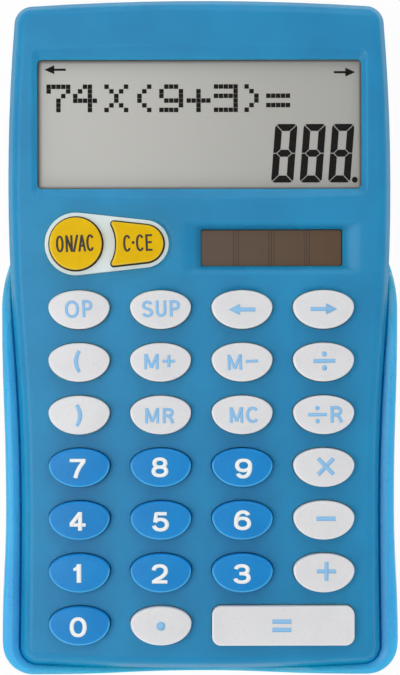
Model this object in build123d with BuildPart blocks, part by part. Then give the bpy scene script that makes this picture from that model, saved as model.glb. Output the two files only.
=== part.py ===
from build123d import *
import os

# School calculator lying on its stowed slide-on cover. All sizes are in millimetres.
# X runs to the right, Y up the face towards the display and Z up from the table.
# The origin is under the middle of the whole object.

# Keys
key_width = 12.0
key_height = 7.62
key_gap_x = 4.0
key_gap_y = 2.73
key_grid_shift = 0.3
key_shoulder_share = 0.42
key_crown_radius = 160.0
key_proud = 2.6
key_travel = 1.2
key_clearance = 0.15
key_round = 0.5
flat_key_round = 0.4
key_wall = 1.1
key_roof = 1.1
flange_reach = 0.8
flange_thickness = 0.9
flange_gap = 0.1
stem_radius = 1.6
wide_key_rise = 0.15
wide_key_corner = 1.8
on_key_radius = 5.15
on_key_offset = 0.65
clear_key_span = 13.6
clear_end_radius = 3.65
clear_key_relief = 2.85
clear_key_corner = 0.45
clear_stem_setback = 1.05

# Pale inlay round the two yellow keys
inlay_margin = 1.12
inlay_pocket = 0.8
inlay_proud = 0.25
inlay_fit = 0.06
inlay_round = 0.3

# Face layout, from the lower edge up
bottom_margin = 5.065
inlay_gap = 2.915
display_gap = 4.6
display_height = 25.5
top_margin = 11.9
display_overhang = 2.0
display_corner = 1.0
solar_inset = 2.1
solar_drop = 0.78
solar_left_gap = 6.2
solar_height = 7.3
solar_corner = 0.5
solar_bevel_x = 3.3
solar_bevel_y = 1.35

# Case outline and shells
display_side_margin = 5.9
waist_draw = 2.55
waist_rise = 2.2
top_draw = 1.55
top_arch = 1.27
top_corner = 3.6
foot_flare = 0.3
bottom_bulge = 1.1
bottom_corner = 3.4
case_wall = 1.7
side_slope_height = 3.2
side_slope_angle = 22.0
face_round = 1.8
back_round = 2.0
back_wall = 2.2
back_floor = 1.6
tongue_thickness = 0.8
tongue_height = 1.0
tongue_gap = 0.1

# Slide cover
slide_clearance = 0.45
slide_gap = 0.4
cover_floor = 1.8
cover_foot_wall = 3.35
cover_lean_angle = 5.0
cover_shoulder_flare = 0.75
cover_foot_flare = 0.75
cover_corner = 6.8
cover_end_wall = 1.05
cover_end_hollow = 0.55
cover_scoop_half = 27.0
cover_scoop_depth = 5.6
cover_rim_drop = 3.0
cover_rim_round = 0.8
cover_rim_dip = 0.5
cover_rim_dip_angle = 68.0
cover_foot_round = 1.0
cover_fall = 14.0
cover_neck = 15.5
cover_plate_draw = 2.9
cover_plate_setback = 8.5
cover_plate_corner = 8.0
rail_height = 1.4
rail_reach = 1.0
rail_play = 0.2
groove_wall = 1.3

# Display stack, from the board up
lcd_ledge = 0.4
lcd_glass = 1.1
lcd_gap = 0.2
lens_thickness = 1.0
lens_lip = 0.5
display_recess = 0.7
display_bevel_side = 1.05
display_bevel_bottom = 1.3
display_bevel_top = 2.0
display_bevel_arch = 0.85
display_bevel_sag = 0.75
display_bevel_corner = 1.3
recess_round = 0.6
window_round = 0.45
lens_overlap = 1.0
lens_fit = 0.15
glass_overlap = 0.8
lcd_frame_wall = 1.0
lcd_contact_ledge = 2.6
zebra_width = 2.0
zebra_end_gap = 3.0

# Solar cell and its leads
solar_recess = 0.8
solar_lip = 0.4
solar_overlap = 1.0
solar_thickness = 1.1
lead_radius = 0.45
lead_step = 2.6

# Board, mat and power
board_thickness = 1.2
board_edge_gap = 0.4
board_top_gap = 1.6
mat_thickness = 0.8
mat_border = 1.2
dome_roof = 0.5
dome_foot = 3.6
dome_top = 2.3
dome_skin = 0.55
key_stop_gap = 0.4
contact_gap = 0.1
cell_radius = 5.8
cell_height = 3.05
cell_cap_radius = 4.7
cell_cap_height = 0.6
cell_fit = 0.25
cell_wall = 1.2
contact_thickness = 0.3
contact_bump = 0.25
contact_width = 4.0
door_plate = 1.0
door_width = 27.0
door_height = 17.0
door_corner = 2.0
door_fit = 0.15
blob_radius = 6.0
blob_height = 1.4
capacitor_radius = 1.5
capacitor_length = 6.0

# Screws and bosses
screw_radius = 1.0
screw_fit = 0.05
screw_head_radius = 1.9
screw_head_height = 1.1
screw_slot = 0.45
screw_slot_length = 2.6
screw_slot_depth = 0.6
boss_radius = 2.4
boss_inset_x = 6.6
boss_inset_y = 6.1
boss_gap = 0.45
counterbore_depth = 2.6

# Heights that follow from the stack
case_back_z = cover_floor + slide_gap
back_inside_z = case_back_z + back_floor
board_bottom_z = back_inside_z + cell_height + contact_thickness + contact_bump
board_top_z = board_bottom_z + board_thickness
mat_top_z = board_top_z + mat_thickness
dome_top_z = board_top_z + key_travel + dome_roof
flange_bottom_z = mat_top_z + key_travel + key_stop_gap
flange_top_z = flange_bottom_z + flange_thickness
ceiling_z = flange_top_z + flange_gap
lcd_bottom_z = board_top_z + lcd_ledge
lcd_top_z = lcd_bottom_z + 2 * lcd_glass
lens_bottom_z = lcd_top_z + lcd_gap
lens_top_z = lens_bottom_z + lens_thickness
face_z = lens_top_z + lens_lip + display_recess
solar_top_z = face_z - solar_recess - solar_lip
solar_bottom_z = solar_top_z - solar_thickness
inlay_floor_z = face_z - inlay_pocket
key_top_z = face_z + key_proud
parting_z = board_top_z
rim_z = face_z - cover_rim_drop
rail_z = (case_back_z + back_round + parting_z) / 2

# Plan positions that follow from the layout
column_pitch = key_width + key_gap_x
row_pitch = key_height + key_gap_y
grid_width = 3 * column_pitch + key_width
grid_height = 6 * row_pitch + key_height
inlay_radius = on_key_radius + inlay_margin
inlay_end_radius = clear_end_radius + inlay_margin
case_length = (bottom_margin + grid_height + inlay_gap + 2 * inlay_radius
               + display_gap + display_height + top_margin)
cover_end = slide_clearance + cover_end_wall + cover_end_hollow
case_top = (case_length + cover_end) / 2
case_bottom = case_top - case_length
cover_bottom = -case_top
bottom_row_y = case_bottom + bottom_margin + key_height / 2
column_x = [key_grid_shift + (i - 1.5) * column_pitch for i in range(4)]
row_y = [bottom_row_y + (6 - i) * row_pitch for i in range(7)]
grid_right = key_grid_shift + grid_width / 2
inlay_x = column_x[0] - on_key_offset
inlay_y = row_y[0] + key_height / 2 + inlay_gap + inlay_radius
inlay_right = inlay_x + clear_key_span + inlay_end_radius
display_width = grid_width + 2 * display_overhang
display_bottom = inlay_y + inlay_radius + display_gap
display_y = display_bottom + display_height / 2
display_top = display_bottom + display_height
solar_width = grid_right - solar_inset - inlay_right - solar_left_gap
solar_x = grid_right - solar_inset - solar_width / 2
solar_y = inlay_y - solar_drop
case_half = display_width / 2 + display_side_margin
widest_y = display_bottom + display_corner
waist_half = case_half - waist_draw
waist_y = row_y[4] + waist_rise
cover_half = waist_half + slide_clearance + cover_foot_wall
shoulder_y = row_y[0]
rail_x = waist_half + slide_clearance - rail_reach
groove_x = rail_x - rail_play
cavity_half = groove_x - groove_wall
plate_half = case_half - cover_plate_draw
plate_top = case_top - cover_plate_setback

# Screw positions
between_columns = [column_x[0] + column_pitch / 2, column_x[2] + column_pitch / 2]
board_screw_spots = [(x, row_y[i] - row_pitch / 2) for i in (0, 2) for x in between_columns]
lower_case_spots = [(x, row_y[4] - row_pitch / 2) for x in between_columns]
upper_case_spots = [(x, case_top - boss_inset_y)
                    for x in (boss_inset_x - case_half, case_half - boss_inset_x)]
case_screw_spots = lower_case_spots + upper_case_spots

# Battery position, under the display
cell_x = column_x[1]
cell_y = display_bottom + door_height / 2
door_x = cell_x + door_width / 2 - door_height / 2
door_screw_x = cell_x + door_width - door_height

# Key table: name, outline, centre and the places of its stems
grid_names = [
    ["key_op", "key_delete", "key_left", "key_right"],
    ["key_bracket_open", "key_memory_plus", "key_memory_minus", "key_divide"],
    ["key_bracket_close", "key_memory_recall", "key_memory_clear", "key_remainder"],
    ["key_7", "key_8", "key_9", "key_multiply"],
    ["key_4", "key_5", "key_6", "key_minus"],
    ["key_1", "key_2", "key_3", "key_plus"],
    ["key_0", "key_point"],
]
keys = [(name, "egg", column_x[c], row_y[r], [(0, 0)])
        for r, names in enumerate(grid_names) for c, name in enumerate(names)]
wide_x = (column_x[2] + column_x[3]) / 2
wide_width = column_pitch + key_width
wide_height = key_height + wide_key_rise
keys.append(("key_equals", "wide", wide_x, row_y[6], [(-column_pitch / 2, 0), (column_pitch / 2, 0)]))
keys.append(("key_on", "round", inlay_x, inlay_y, [(0, 0)]))
keys.append(("key_clear", "crescent", inlay_x, inlay_y, [(clear_key_span - clear_stem_setback, 0)]))


def teardrop(big, small):
    """Big circle at the centre and small circle along X, joined by their outer tangents."""
    with BuildSketch() as drop:
        Circle(big)
        with Locations((clear_key_span, 0)):
            Circle(small)
        make_hull()
    return drop.sketch


def key_face(kind, grow):
    """Outline of one kind of key round its centre, grown outwards."""
    with BuildSketch() as outline:
        if kind == "egg":
            brow = (0, key_height * (0.5 - key_shoulder_share))
            with BuildLine():
                EllipticalCenterArc(brow, key_width / 2 + grow,
                                    key_height * key_shoulder_share + grow, 0, arc_size=180)
                EllipticalCenterArc(brow, key_width / 2 + grow,
                                    key_height * (1 - key_shoulder_share) + grow, 180, arc_size=180)
            make_face()
        elif kind == "wide":
            RectangleRounded(wide_width + 2 * grow, wide_height + 2 * grow, wide_key_corner + grow)
        elif kind == "round":
            Circle(on_key_radius + grow)
        else:
            relief = on_key_radius + clear_key_relief - grow
            add(teardrop(on_key_radius + grow, clear_end_radius + grow))
            with Locations((-relief, 0)):
                Rectangle(2 * relief, 4 * relief, mode=Mode.SUBTRACT)
            Circle(relief, mode=Mode.SUBTRACT)
            fillet(outline.vertices().group_by(Axis.X)[0], clear_key_corner * (1 + grow / (2 * key_wall)))
    return outline.sketch


def halfway(first, second):
    """Point midway between two points."""
    return ((first[0] + second[0]) / 2, (first[1] + second[1]) / 2)


def case_outline(flare):
    """Outline of the case, drawn for the right side and mirrored, with its foot flared outwards."""
    with BuildSketch() as plan:
        with BuildLine():
            widest = (case_half, widest_y)
            waist = (waist_half, waist_y)
            upper = (case_half - top_draw, case_top - top_arch)
            lower = (waist_half + flare, case_bottom + bottom_bulge)
            TangentArc(widest, upper, tangent=(0, 1))
            TangentArc(widest, halfway(widest, waist), tangent=(0, -1))
            TangentArc(waist, halfway(widest, waist), tangent=(0, 1))
            TangentArc(waist, lower, tangent=(0, -1))
            mirror(about=Plane.YZ)
            ThreePointArc(upper, (0, case_top), (-upper[0], upper[1]))
            ThreePointArc(lower, (0, case_bottom), (-lower[0], lower[1]))
        make_face()
        fillet(plan.vertices().group_by(Axis.Y)[-1], top_corner)
        fillet(plan.vertices().group_by(Axis.Y)[0], bottom_corner)
    return plan.sketch


case_plan = case_outline(foot_flare)


def case_face(inset):
    """Case outline moved inwards by the inset."""
    with BuildSketch() as inset_plan:
        add(case_plan)
        offset(amount=-inset, mode=Mode.REPLACE)
    return inset_plan.sketch


parts = {}

# Front case
with BuildPart() as front_case:
    with BuildSketch(Plane.XY.offset(parting_z)):
        add(case_plan)
    extrude(amount=face_z - side_slope_height - parting_z)
    with BuildSketch(Plane.XY.offset(face_z - side_slope_height)):
        add(case_plan)
    extrude(amount=side_slope_height, taper=side_slope_angle)
    fillet(front_case.faces().sort_by(Axis.Z)[-1].edges(), face_round)
    with BuildSketch(Plane.XY.offset(parting_z)):
        add(case_face(case_wall))
    extrude(amount=ceiling_z - parting_z, mode=Mode.SUBTRACT)
    with BuildSketch(Plane.XY.offset(face_z)) as recess_plan:
        with BuildLine():
            recess_half = display_width / 2 + display_bevel_side
            recess_low = display_bottom - display_bevel_bottom
            recess_high = display_top + display_bevel_top
            Line((-recess_half, recess_high), (-recess_half, recess_low))
            ThreePointArc((-recess_half, recess_low), (0, recess_low - display_bevel_sag),
                          (recess_half, recess_low))
            Line((recess_half, recess_low), (recess_half, recess_high))
            ThreePointArc((recess_half, recess_high), (0, recess_high + display_bevel_arch),
                          (-recess_half, recess_high))
        make_face()
        fillet(recess_plan.vertices(), display_bevel_corner)
    with BuildSketch(Plane((0, display_y, face_z - display_recess))):
        RectangleRounded(display_width, display_height, display_corner)
    loft(mode=Mode.SUBTRACT)
    with BuildSketch(Plane((solar_x, solar_y, face_z))):
        Rectangle(solar_width + 2 * solar_bevel_x, solar_height + 2 * solar_bevel_y)
    with BuildSketch(Plane((solar_x, solar_y, face_z - solar_recess - solar_lip / 2))):
        Rectangle(solar_width - solar_bevel_x * solar_lip / solar_recess,
                  solar_height - solar_bevel_y * solar_lip / solar_recess)
    loft(mode=Mode.SUBTRACT)
    with BuildSketch(Plane((solar_x, solar_y, ceiling_z))):
        RectangleRounded(solar_width, solar_height, solar_corner)
    extrude(amount=face_z - ceiling_z, mode=Mode.SUBTRACT)
    with BuildSketch(Plane((solar_x, solar_y, ceiling_z))):
        RectangleRounded(solar_width + 2 * (solar_overlap + lens_fit),
                         solar_height + 2 * (solar_overlap + lens_fit), solar_corner)
    extrude(amount=solar_top_z - ceiling_z, mode=Mode.SUBTRACT)
    face_rims = front_case.faces().sort_by(Axis.Z)[-1].inner_wires()
    fillet(face_rims.edges(), recess_round)
    with BuildSketch(Plane((0, display_y, ceiling_z))):
        RectangleRounded(display_width, display_height, display_corner)
    extrude(amount=face_z - ceiling_z, mode=Mode.SUBTRACT)
    rim_level = face_z - display_recess
    window_rim = front_case.edges().filter_by_position(Axis.Z, rim_level, rim_level)
    fillet(window_rim, window_round)
    with BuildSketch(Plane((0, display_y, ceiling_z))):
        RectangleRounded(display_width + 2 * (lens_overlap + lens_fit),
                         display_height + 2 * (lens_overlap + lens_fit), display_corner)
    extrude(amount=lens_top_z - ceiling_z, mode=Mode.SUBTRACT)
    with BuildSketch(Plane((inlay_x, inlay_y, inlay_floor_z))):
        add(teardrop(inlay_radius, inlay_end_radius))
    extrude(amount=inlay_pocket, mode=Mode.SUBTRACT)
    for name, kind, x, y, stems in keys:
        with BuildSketch(Plane((x, y, ceiling_z))):
            add(key_face(kind, key_clearance))
        extrude(amount=face_z - ceiling_z, mode=Mode.SUBTRACT)
    with Locations(*[(x, y, ceiling_z) for x, y in board_screw_spots]):
        Cylinder(boss_radius, ceiling_z - board_top_z, align=(Align.CENTER, Align.CENTER, Align.MAX))
    with Locations(*[(x, y, ceiling_z) for x, y in case_screw_spots]):
        Cylinder(boss_radius, ceiling_z - parting_z, align=(Align.CENTER, Align.CENTER, Align.MAX))
    with Locations(*[(x, y, ceiling_z) for x, y in board_screw_spots + case_screw_spots]):
        Cylinder(screw_radius + screw_fit, ceiling_z - board_top_z,
                 align=(Align.CENTER, Align.CENTER, Align.MAX), mode=Mode.SUBTRACT)
parts["front_case"] = front_case.part

# Back case
with BuildPart() as back_case:
    with BuildSketch(Plane.XY.offset(case_back_z)):
        add(case_plan)
    extrude(amount=parting_z - case_back_z)
    fillet(back_case.faces().sort_by(Axis.Z)[0].edges(), back_round)
    with BuildSketch(Plane.XY.offset(back_inside_z)):
        add(case_face(back_wall))
        Rectangle(2 * cavity_half, 2 * case_length, mode=Mode.INTERSECT)
    extrude(amount=parting_z - back_inside_z, mode=Mode.SUBTRACT)
    with BuildSketch(Plane.XY.offset(parting_z)):
        add(case_face(case_wall + tongue_gap))
        add(case_face(case_wall + tongue_gap + tongue_thickness), mode=Mode.SUBTRACT)
    extrude(amount=tongue_height)
    for side in (-1, 1):
        with Locations((side * groove_x, case_bottom - bottom_bulge, rail_z)):
            Box(2 * waist_draw, shoulder_y - case_bottom + 3 * bottom_bulge, rail_height + 2 * rail_play,
                align=(Align.MIN if side > 0 else Align.MAX, Align.MIN, Align.CENTER), mode=Mode.SUBTRACT)
    with Locations(*[(x, y, back_inside_z) for x, y in case_screw_spots]):
        Cylinder(boss_radius + boss_gap, parting_z - back_inside_z,
                 align=(Align.CENTER, Align.CENTER, Align.MIN))
    with Locations(*[(x, y, case_back_z) for x, y in case_screw_spots]):
        Cylinder(screw_head_radius + boss_gap / 2, counterbore_depth,
                 align=(Align.CENTER, Align.CENTER, Align.MIN), mode=Mode.SUBTRACT)
        Cylinder(screw_radius + screw_fit, parting_z - case_back_z,
                 align=(Align.CENTER, Align.CENTER, Align.MIN), mode=Mode.SUBTRACT)
    with Locations((cell_x, cell_y, back_inside_z)):
        Cylinder(cell_radius + cell_fit + cell_wall, cell_height,
                 align=(Align.CENTER, Align.CENTER, Align.MIN))
    with Locations((door_screw_x, cell_y, back_inside_z)):
        Cylinder(boss_radius, cell_height, align=(Align.CENTER, Align.CENTER, Align.MIN))
    with Locations((cell_x, cell_y, case_back_z)):
        Cylinder(cell_radius + cell_fit, back_floor + cell_height,
                 align=(Align.CENTER, Align.CENTER, Align.MIN), mode=Mode.SUBTRACT)
    with Locations((cell_x - cell_radius - contact_thickness, cell_y, back_inside_z)):
        Box(cell_wall + 4 * cell_fit, contact_width + 4 * cell_fit, cell_height,
            align=(Align.CENTER, Align.CENTER, Align.MIN), mode=Mode.SUBTRACT)
    with Locations((door_screw_x, cell_y, case_back_z)):
        Cylinder(screw_radius + screw_fit, back_floor + cell_height,
                 align=(Align.CENTER, Align.CENTER, Align.MIN), mode=Mode.SUBTRACT)
    with BuildSketch(Plane((door_x, cell_y, case_back_z))):
        RectangleRounded(door_width + 2 * door_fit, door_height + 2 * door_fit, door_corner)
    extrude(amount=door_plate, mode=Mode.SUBTRACT)
parts["back_case"] = back_case.part

# Slide cover: outline, leaning walls, side rails and a plate that runs on under the case
with BuildSketch() as cover_plan:
    with BuildLine():
        shoulder = (cover_half + cover_shoulder_flare, shoulder_y)
        hip = (cover_half, waist_y)
        foot = (cover_half + cover_foot_flare, cover_bottom + cover_corner)
        toe = (foot[0] - cover_corner, cover_bottom)
        hollow = (0, cover_bottom + cover_end_hollow)
        neck = (plate_half, shoulder_y + cover_neck)
        tip = (plate_half, plate_top - top_arch)
        TangentArc(shoulder, neck, tangent=(0, 1))
        TangentArc(shoulder, halfway(shoulder, hip), tangent=(0, -1))
        TangentArc(hip, halfway(shoulder, hip), tangent=(0, 1))
        TangentArc(hip, halfway(hip, foot), tangent=(0, -1))
        TangentArc(foot, halfway(hip, foot), tangent=(0, 1))
        TangentArc(toe, foot, tangent=(1, 0))
        TangentArc(toe, halfway(toe, hollow), tangent=(-1, 0))
        TangentArc(hollow, halfway(toe, hollow), tangent=(1, 0))
        Line(neck, tip)
        mirror(about=Plane.YZ)
        ThreePointArc(tip, (0, plate_top), (-tip[0], tip[1]))
    make_face()
    fillet(cover_plan.vertices().group_by(Axis.Y)[-1], cover_plate_corner)

with BuildSketch() as mouth_plan:
    add(case_plan)
    offset(amount=slide_clearance, mode=Mode.REPLACE)
cover_mouth = mouth_plan.sketch

with BuildPart() as slide_cover:
    with BuildSketch(Plane.XY):
        add(cover_plan.sketch)
    extrude(amount=cover_floor)
    with BuildSketch(Plane.XY.offset(cover_floor)):
        add(cover_plan.sketch)
    extrude(amount=rim_z - cover_floor, taper=cover_lean_angle)
    with BuildSketch(Plane.YZ):
        with BuildLine():
            fall_start = shoulder_y + cover_neck / 2 - cover_fall
            fall_end = shoulder_y + cover_neck / 2
            EllipticalCenterArc((fall_start, cover_floor), cover_fall, rim_z - cover_floor, 0, arc_size=90)
            Polyline((fall_end, cover_floor), (2 * case_top, cover_floor), (2 * case_top, 2 * rim_z),
                     (fall_start, 2 * rim_z), (fall_start, rim_z))
        make_face()
    extrude(amount=2 * case_half, both=True, mode=Mode.SUBTRACT)
    crest = slide_cover.faces().filter_by(Plane.XY).sort_by(Axis.Z)[-1]
    fillet(crest.edges().filter_by(GeomType.CIRCLE), cover_rim_round)
    for low, high, railed in ((cover_floor, rail_z - rail_height / 2, False),
                              (rail_z - rail_height / 2, rail_z + rail_height / 2, True),
                              (rail_z + rail_height / 2, rim_z, False)):
        with BuildSketch(Plane.XY.offset(low)):
            add(cover_mouth)
            if railed:
                for side in (-1, 1):
                    with Locations((side * rail_x, shoulder_y)):
                        Rectangle(4 * waist_draw, shoulder_y - case_bottom - bottom_corner,
                                  align=(Align.MIN if side > 0 else Align.MAX, Align.MAX),
                                  mode=Mode.SUBTRACT)
        extrude(amount=high - low, mode=Mode.SUBTRACT)
    with BuildSketch(Plane.XY.offset(rim_z - cover_rim_dip)):
        add(cover_mouth)
    extrude(amount=cover_rim_dip, taper=-cover_rim_dip_angle, mode=Mode.SUBTRACT)
    with BuildSketch(Plane.XZ.offset(-case_bottom - cover_scoop_half)):
        with BuildLine():
            brink = (cover_scoop_half, rim_z)
            trough = (0, rim_z - cover_scoop_depth)
            TangentArc(brink, halfway(brink, trough), tangent=(-1, 0))
            TangentArc(trough, halfway(brink, trough), tangent=(1, 0))
            mirror(about=Plane.YZ)
            Polyline(brink, (cover_scoop_half, 2 * rim_z), (-cover_scoop_half, 2 * rim_z),
                     (-cover_scoop_half, rim_z))
        make_face()
    extrude(amount=2 * cover_scoop_half, mode=Mode.SUBTRACT)
    fillet(slide_cover.faces().sort_by(Axis.Z)[0].edges(), cover_foot_round)
parts["slide_cover"] = slide_cover.part

# Inlay plate
with BuildPart() as inlay:
    with BuildSketch(Plane((inlay_x, inlay_y, inlay_floor_z))):
        add(teardrop(inlay_radius - inlay_fit, inlay_end_radius - inlay_fit))
    extrude(amount=inlay_pocket + inlay_proud)
    fillet(inlay.faces().sort_by(Axis.Z)[-1].edges(), inlay_round)
    for kind in ("round", "crescent"):
        with BuildSketch(Plane((inlay_x, inlay_y, inlay_floor_z))):
            add(key_face(kind, key_clearance))
        extrude(amount=inlay_pocket + inlay_proud, mode=Mode.SUBTRACT)
parts["clear_key_inlay"] = inlay.part

# Key caps, each with a flange under the face and a stem over its dome
for name, kind, x, y, stems in keys:
    with BuildPart() as cap:
        with BuildSketch(Plane((x, y, flange_bottom_z))):
            add(key_face(kind, 0))
        extrude(amount=key_top_z - flange_bottom_z)
        if kind == "egg":
            with Locations((x, y, key_top_z - key_crown_radius)):
                Sphere(key_crown_radius, rotation=(90, 0, 0), mode=Mode.INTERSECT)
        fillet(cap.faces().sort_by(Axis.Z)[-1].edges(), key_round if kind == "egg" else flat_key_round)
        with BuildSketch(Plane((x, y, flange_bottom_z))):
            add(key_face(kind, flange_reach))
        extrude(amount=flange_thickness)
        with BuildSketch(Plane((x, y, flange_bottom_z))):
            add(key_face(kind, -key_wall))
        extrude(amount=key_top_z - key_roof - flange_bottom_z, mode=Mode.SUBTRACT)
        with Locations(*[(x + u, y + v, dome_top_z + contact_gap) for u, v in stems]):
            Cylinder(stem_radius, key_top_z - key_roof - dome_top_z - contact_gap,
                     align=(Align.CENTER, Align.CENTER, Align.MIN))
    parts[name] = cap.part

# Display: window, two glasses, frame and contact strip
with BuildPart() as display_window:
    with BuildSketch(Plane((0, display_y, lens_bottom_z))):
        RectangleRounded(display_width + 2 * lens_overlap, display_height + 2 * lens_overlap,
                         display_corner)
    extrude(amount=lens_thickness)
parts["display_window"] = display_window.part

glass_width = display_width + 2 * glass_overlap
glass_height = display_height + 2 * glass_overlap
with BuildPart() as lcd_front_glass:
    with BuildSketch(Plane((0, display_y, lcd_bottom_z + lcd_glass))):
        Rectangle(glass_width, glass_height)
    extrude(amount=lcd_glass)
parts["lcd_front_glass"] = lcd_front_glass.part

with BuildPart() as lcd_rear_glass:
    with BuildSketch(Plane((0, display_y + lcd_contact_ledge / 2, lcd_bottom_z))):
        Rectangle(glass_width, glass_height - lcd_contact_ledge)
    extrude(amount=lcd_glass)
parts["lcd_rear_glass"] = lcd_rear_glass.part

with BuildPart() as lcd_frame:
    with BuildSketch(Plane((0, display_y, board_top_z))):
        Rectangle(glass_width + 2 * (lens_fit + lcd_frame_wall),
                  glass_height + 2 * (lens_fit + lcd_frame_wall))
    extrude(amount=lcd_top_z - board_top_z)
    with BuildSketch(Plane((0, display_y, lcd_bottom_z))):
        Rectangle(glass_width + 2 * lens_fit, glass_height + 2 * lens_fit)
    extrude(amount=lcd_top_z - lcd_bottom_z, mode=Mode.SUBTRACT)
    with BuildSketch(Plane((0, display_y, board_top_z))):
        Rectangle(glass_width - 2 * lcd_frame_wall, glass_height + 2 * lens_fit)
    extrude(amount=lcd_ledge, mode=Mode.SUBTRACT)
parts["lcd_frame"] = lcd_frame.part

with BuildPart() as contact_strip:
    with BuildSketch(Plane((0, display_y - glass_height / 2 + lcd_contact_ledge / 2, board_top_z))):
        Rectangle(glass_width - 2 * zebra_end_gap, zebra_width)
    extrude(amount=lcd_ledge + lcd_glass)
parts["contact_strip"] = contact_strip.part

# Solar cell and leads
with BuildPart() as solar_cell:
    with BuildSketch(Plane((solar_x, solar_y, solar_bottom_z))):
        Rectangle(solar_width + 2 * solar_overlap, solar_height + 2 * solar_overlap)
    extrude(amount=solar_thickness)
parts["solar_cell"] = solar_cell.part

for name, side in (("solar_lead_negative", -1), ("solar_lead_positive", 1)):
    lead_x = solar_x + side * solar_width / 2
    lead_drop = solar_bottom_z - board_top_z
    with BuildPart() as lead:
        with BuildLine():
            FilletPolyline((lead_x, solar_y, solar_bottom_z),
                           (lead_x, solar_y, board_top_z + lead_drop / 2),
                           (lead_x - side * lead_step, solar_y, board_top_z + lead_drop / 2),
                           (lead_x - side * lead_step, solar_y, board_top_z), radius=2 * lead_radius)
        with BuildSketch(Plane((lead_x, solar_y, solar_bottom_z), z_dir=(0, 0, -1))):
            Circle(lead_radius)
        sweep()
    parts[name] = lead.part

# Board and the parts on its back
with BuildPart() as main_board:
    with BuildSketch(Plane.XY.offset(board_bottom_z)):
        add(case_face(back_wall + board_edge_gap))
        Rectangle(2 * (cavity_half - board_edge_gap), 2 * case_length, mode=Mode.INTERSECT)
        with Locations((0, case_top - boss_inset_y - boss_radius - board_top_gap)):
            Rectangle(2 * case_half, case_length, align=(Align.CENTER, Align.MIN), mode=Mode.SUBTRACT)
        with Locations(*lower_case_spots):
            Circle(boss_radius + 2 * boss_gap, mode=Mode.SUBTRACT)
        with Locations(*board_screw_spots):
            Circle(screw_radius + screw_fit, mode=Mode.SUBTRACT)
    extrude(amount=board_thickness)
parts["main_board"] = main_board.part

with BuildPart() as chip_blob:
    with BuildSketch(Plane.XZ.offset(-row_y[1] - row_pitch / 2)):
        with BuildLine():
            Polyline((0, board_bottom_z - blob_height), (0, board_bottom_z), (blob_radius, board_bottom_z))
            TangentArc((0, board_bottom_z - blob_height), (blob_radius, board_bottom_z), tangent=(1, 0))
        make_face()
    revolve(axis=Axis((0, row_y[1] + row_pitch / 2, 0), (0, 0, 1)))
parts["chip_blob"] = chip_blob.part

with BuildPart() as buffer_capacitor:
    with BuildSketch(Plane((solar_x, solar_y, board_bottom_z - capacitor_radius), z_dir=(1, 0, 0))):
        Circle(capacitor_radius)
    extrude(amount=capacitor_length)
    fillet(buffer_capacitor.edges(), capacitor_radius / 5)
parts["buffer_capacitor"] = buffer_capacitor.part

# Silicone mat with a hollow dome under each stem
dome_spots = [(x + u, y + v) for name, kind, x, y, stems in keys for u, v in stems]
with BuildPart() as key_mat:
    with BuildSketch(Plane.XY.offset(board_top_z)):
        with Locations((key_grid_shift, (row_y[0] + row_y[6]) / 2)):
            RectangleRounded(grid_width + 2 * mat_border, grid_height + 2 * mat_border, mat_border)
        with Locations((inlay_x, row_y[0])):
            Rectangle(clear_key_span + 2 * clear_end_radius, inlay_y + inlay_radius - row_y[0],
                      align=(Align.CENTER, Align.MIN))
            Rectangle(clear_key_span + clear_end_radius, inlay_y + inlay_radius - row_y[0],
                      align=(Align.MIN, Align.MIN))
        Rectangle(2 * (cavity_half - board_edge_gap - mat_border), 2 * case_length, mode=Mode.INTERSECT)
        with Locations(*(board_screw_spots + lower_case_spots)):
            Circle(boss_radius + boss_gap, mode=Mode.SUBTRACT)
    extrude(amount=mat_thickness)
    with Locations(*[(x, y, mat_top_z) for x, y in dome_spots]):
        Cone(dome_foot, dome_top, dome_top_z - mat_top_z, align=(Align.CENTER, Align.CENTER, Align.MIN))
    with Locations(*[(x, y, board_top_z) for x, y in dome_spots]):
        Cone(dome_foot - dome_skin, dome_top - dome_skin, key_travel,
             align=(Align.CENTER, Align.CENTER, Align.MIN), mode=Mode.SUBTRACT)
parts["key_mat"] = key_mat.part

# Button cell, its contacts and the battery door
with BuildPart() as button_cell:
    with Locations((cell_x, cell_y, back_inside_z)):
        Cylinder(cell_radius, cell_height - cell_cap_height, align=(Align.CENTER, Align.CENTER, Align.MIN))
        Cylinder(cell_cap_radius, cell_height, align=(Align.CENTER, Align.CENTER, Align.MIN))
    fillet(button_cell.edges().filter_by(GeomType.CIRCLE).group_by(Axis.Z)[0], cell_cap_height / 2)
parts["button_cell"] = button_cell.part

with BuildPart() as contact_negative:
    with Locations((cell_x, cell_y, board_bottom_z)):
        Box(2 * cell_cap_radius, contact_width, contact_thickness,
            align=(Align.CENTER, Align.CENTER, Align.MAX))
        Cylinder(contact_width / 3, contact_thickness + contact_bump,
                 align=(Align.CENTER, Align.CENTER, Align.MAX))
parts["battery_contact_negative"] = contact_negative.part

with BuildPart() as contact_positive:
    with Locations((cell_x - cell_radius, cell_y, board_bottom_z)):
        Box(contact_thickness, contact_width, cell_height - cell_cap_height + contact_bump,
            align=(Align.MAX, Align.CENTER, Align.MAX))
        Box(contact_width, contact_width, contact_thickness, align=(Align.MAX, Align.CENTER, Align.MAX))
parts["battery_contact_positive"] = contact_positive.part

with BuildPart() as battery_door:
    with BuildSketch(Plane((door_x, cell_y, case_back_z))):
        RectangleRounded(door_width, door_height, door_corner)
    extrude(amount=door_plate)
    with BuildSketch(Plane((cell_x, cell_y, case_back_z))):
        Circle(cell_radius + cell_fit - door_fit)
    extrude(amount=back_floor)
    with Locations((door_screw_x, cell_y, case_back_z)):
        Cone(screw_head_radius + screw_fit, screw_radius + screw_fit, door_plate,
             align=(Align.CENTER, Align.CENTER, Align.MIN), mode=Mode.SUBTRACT)
parts["battery_door"] = battery_door.part


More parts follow.
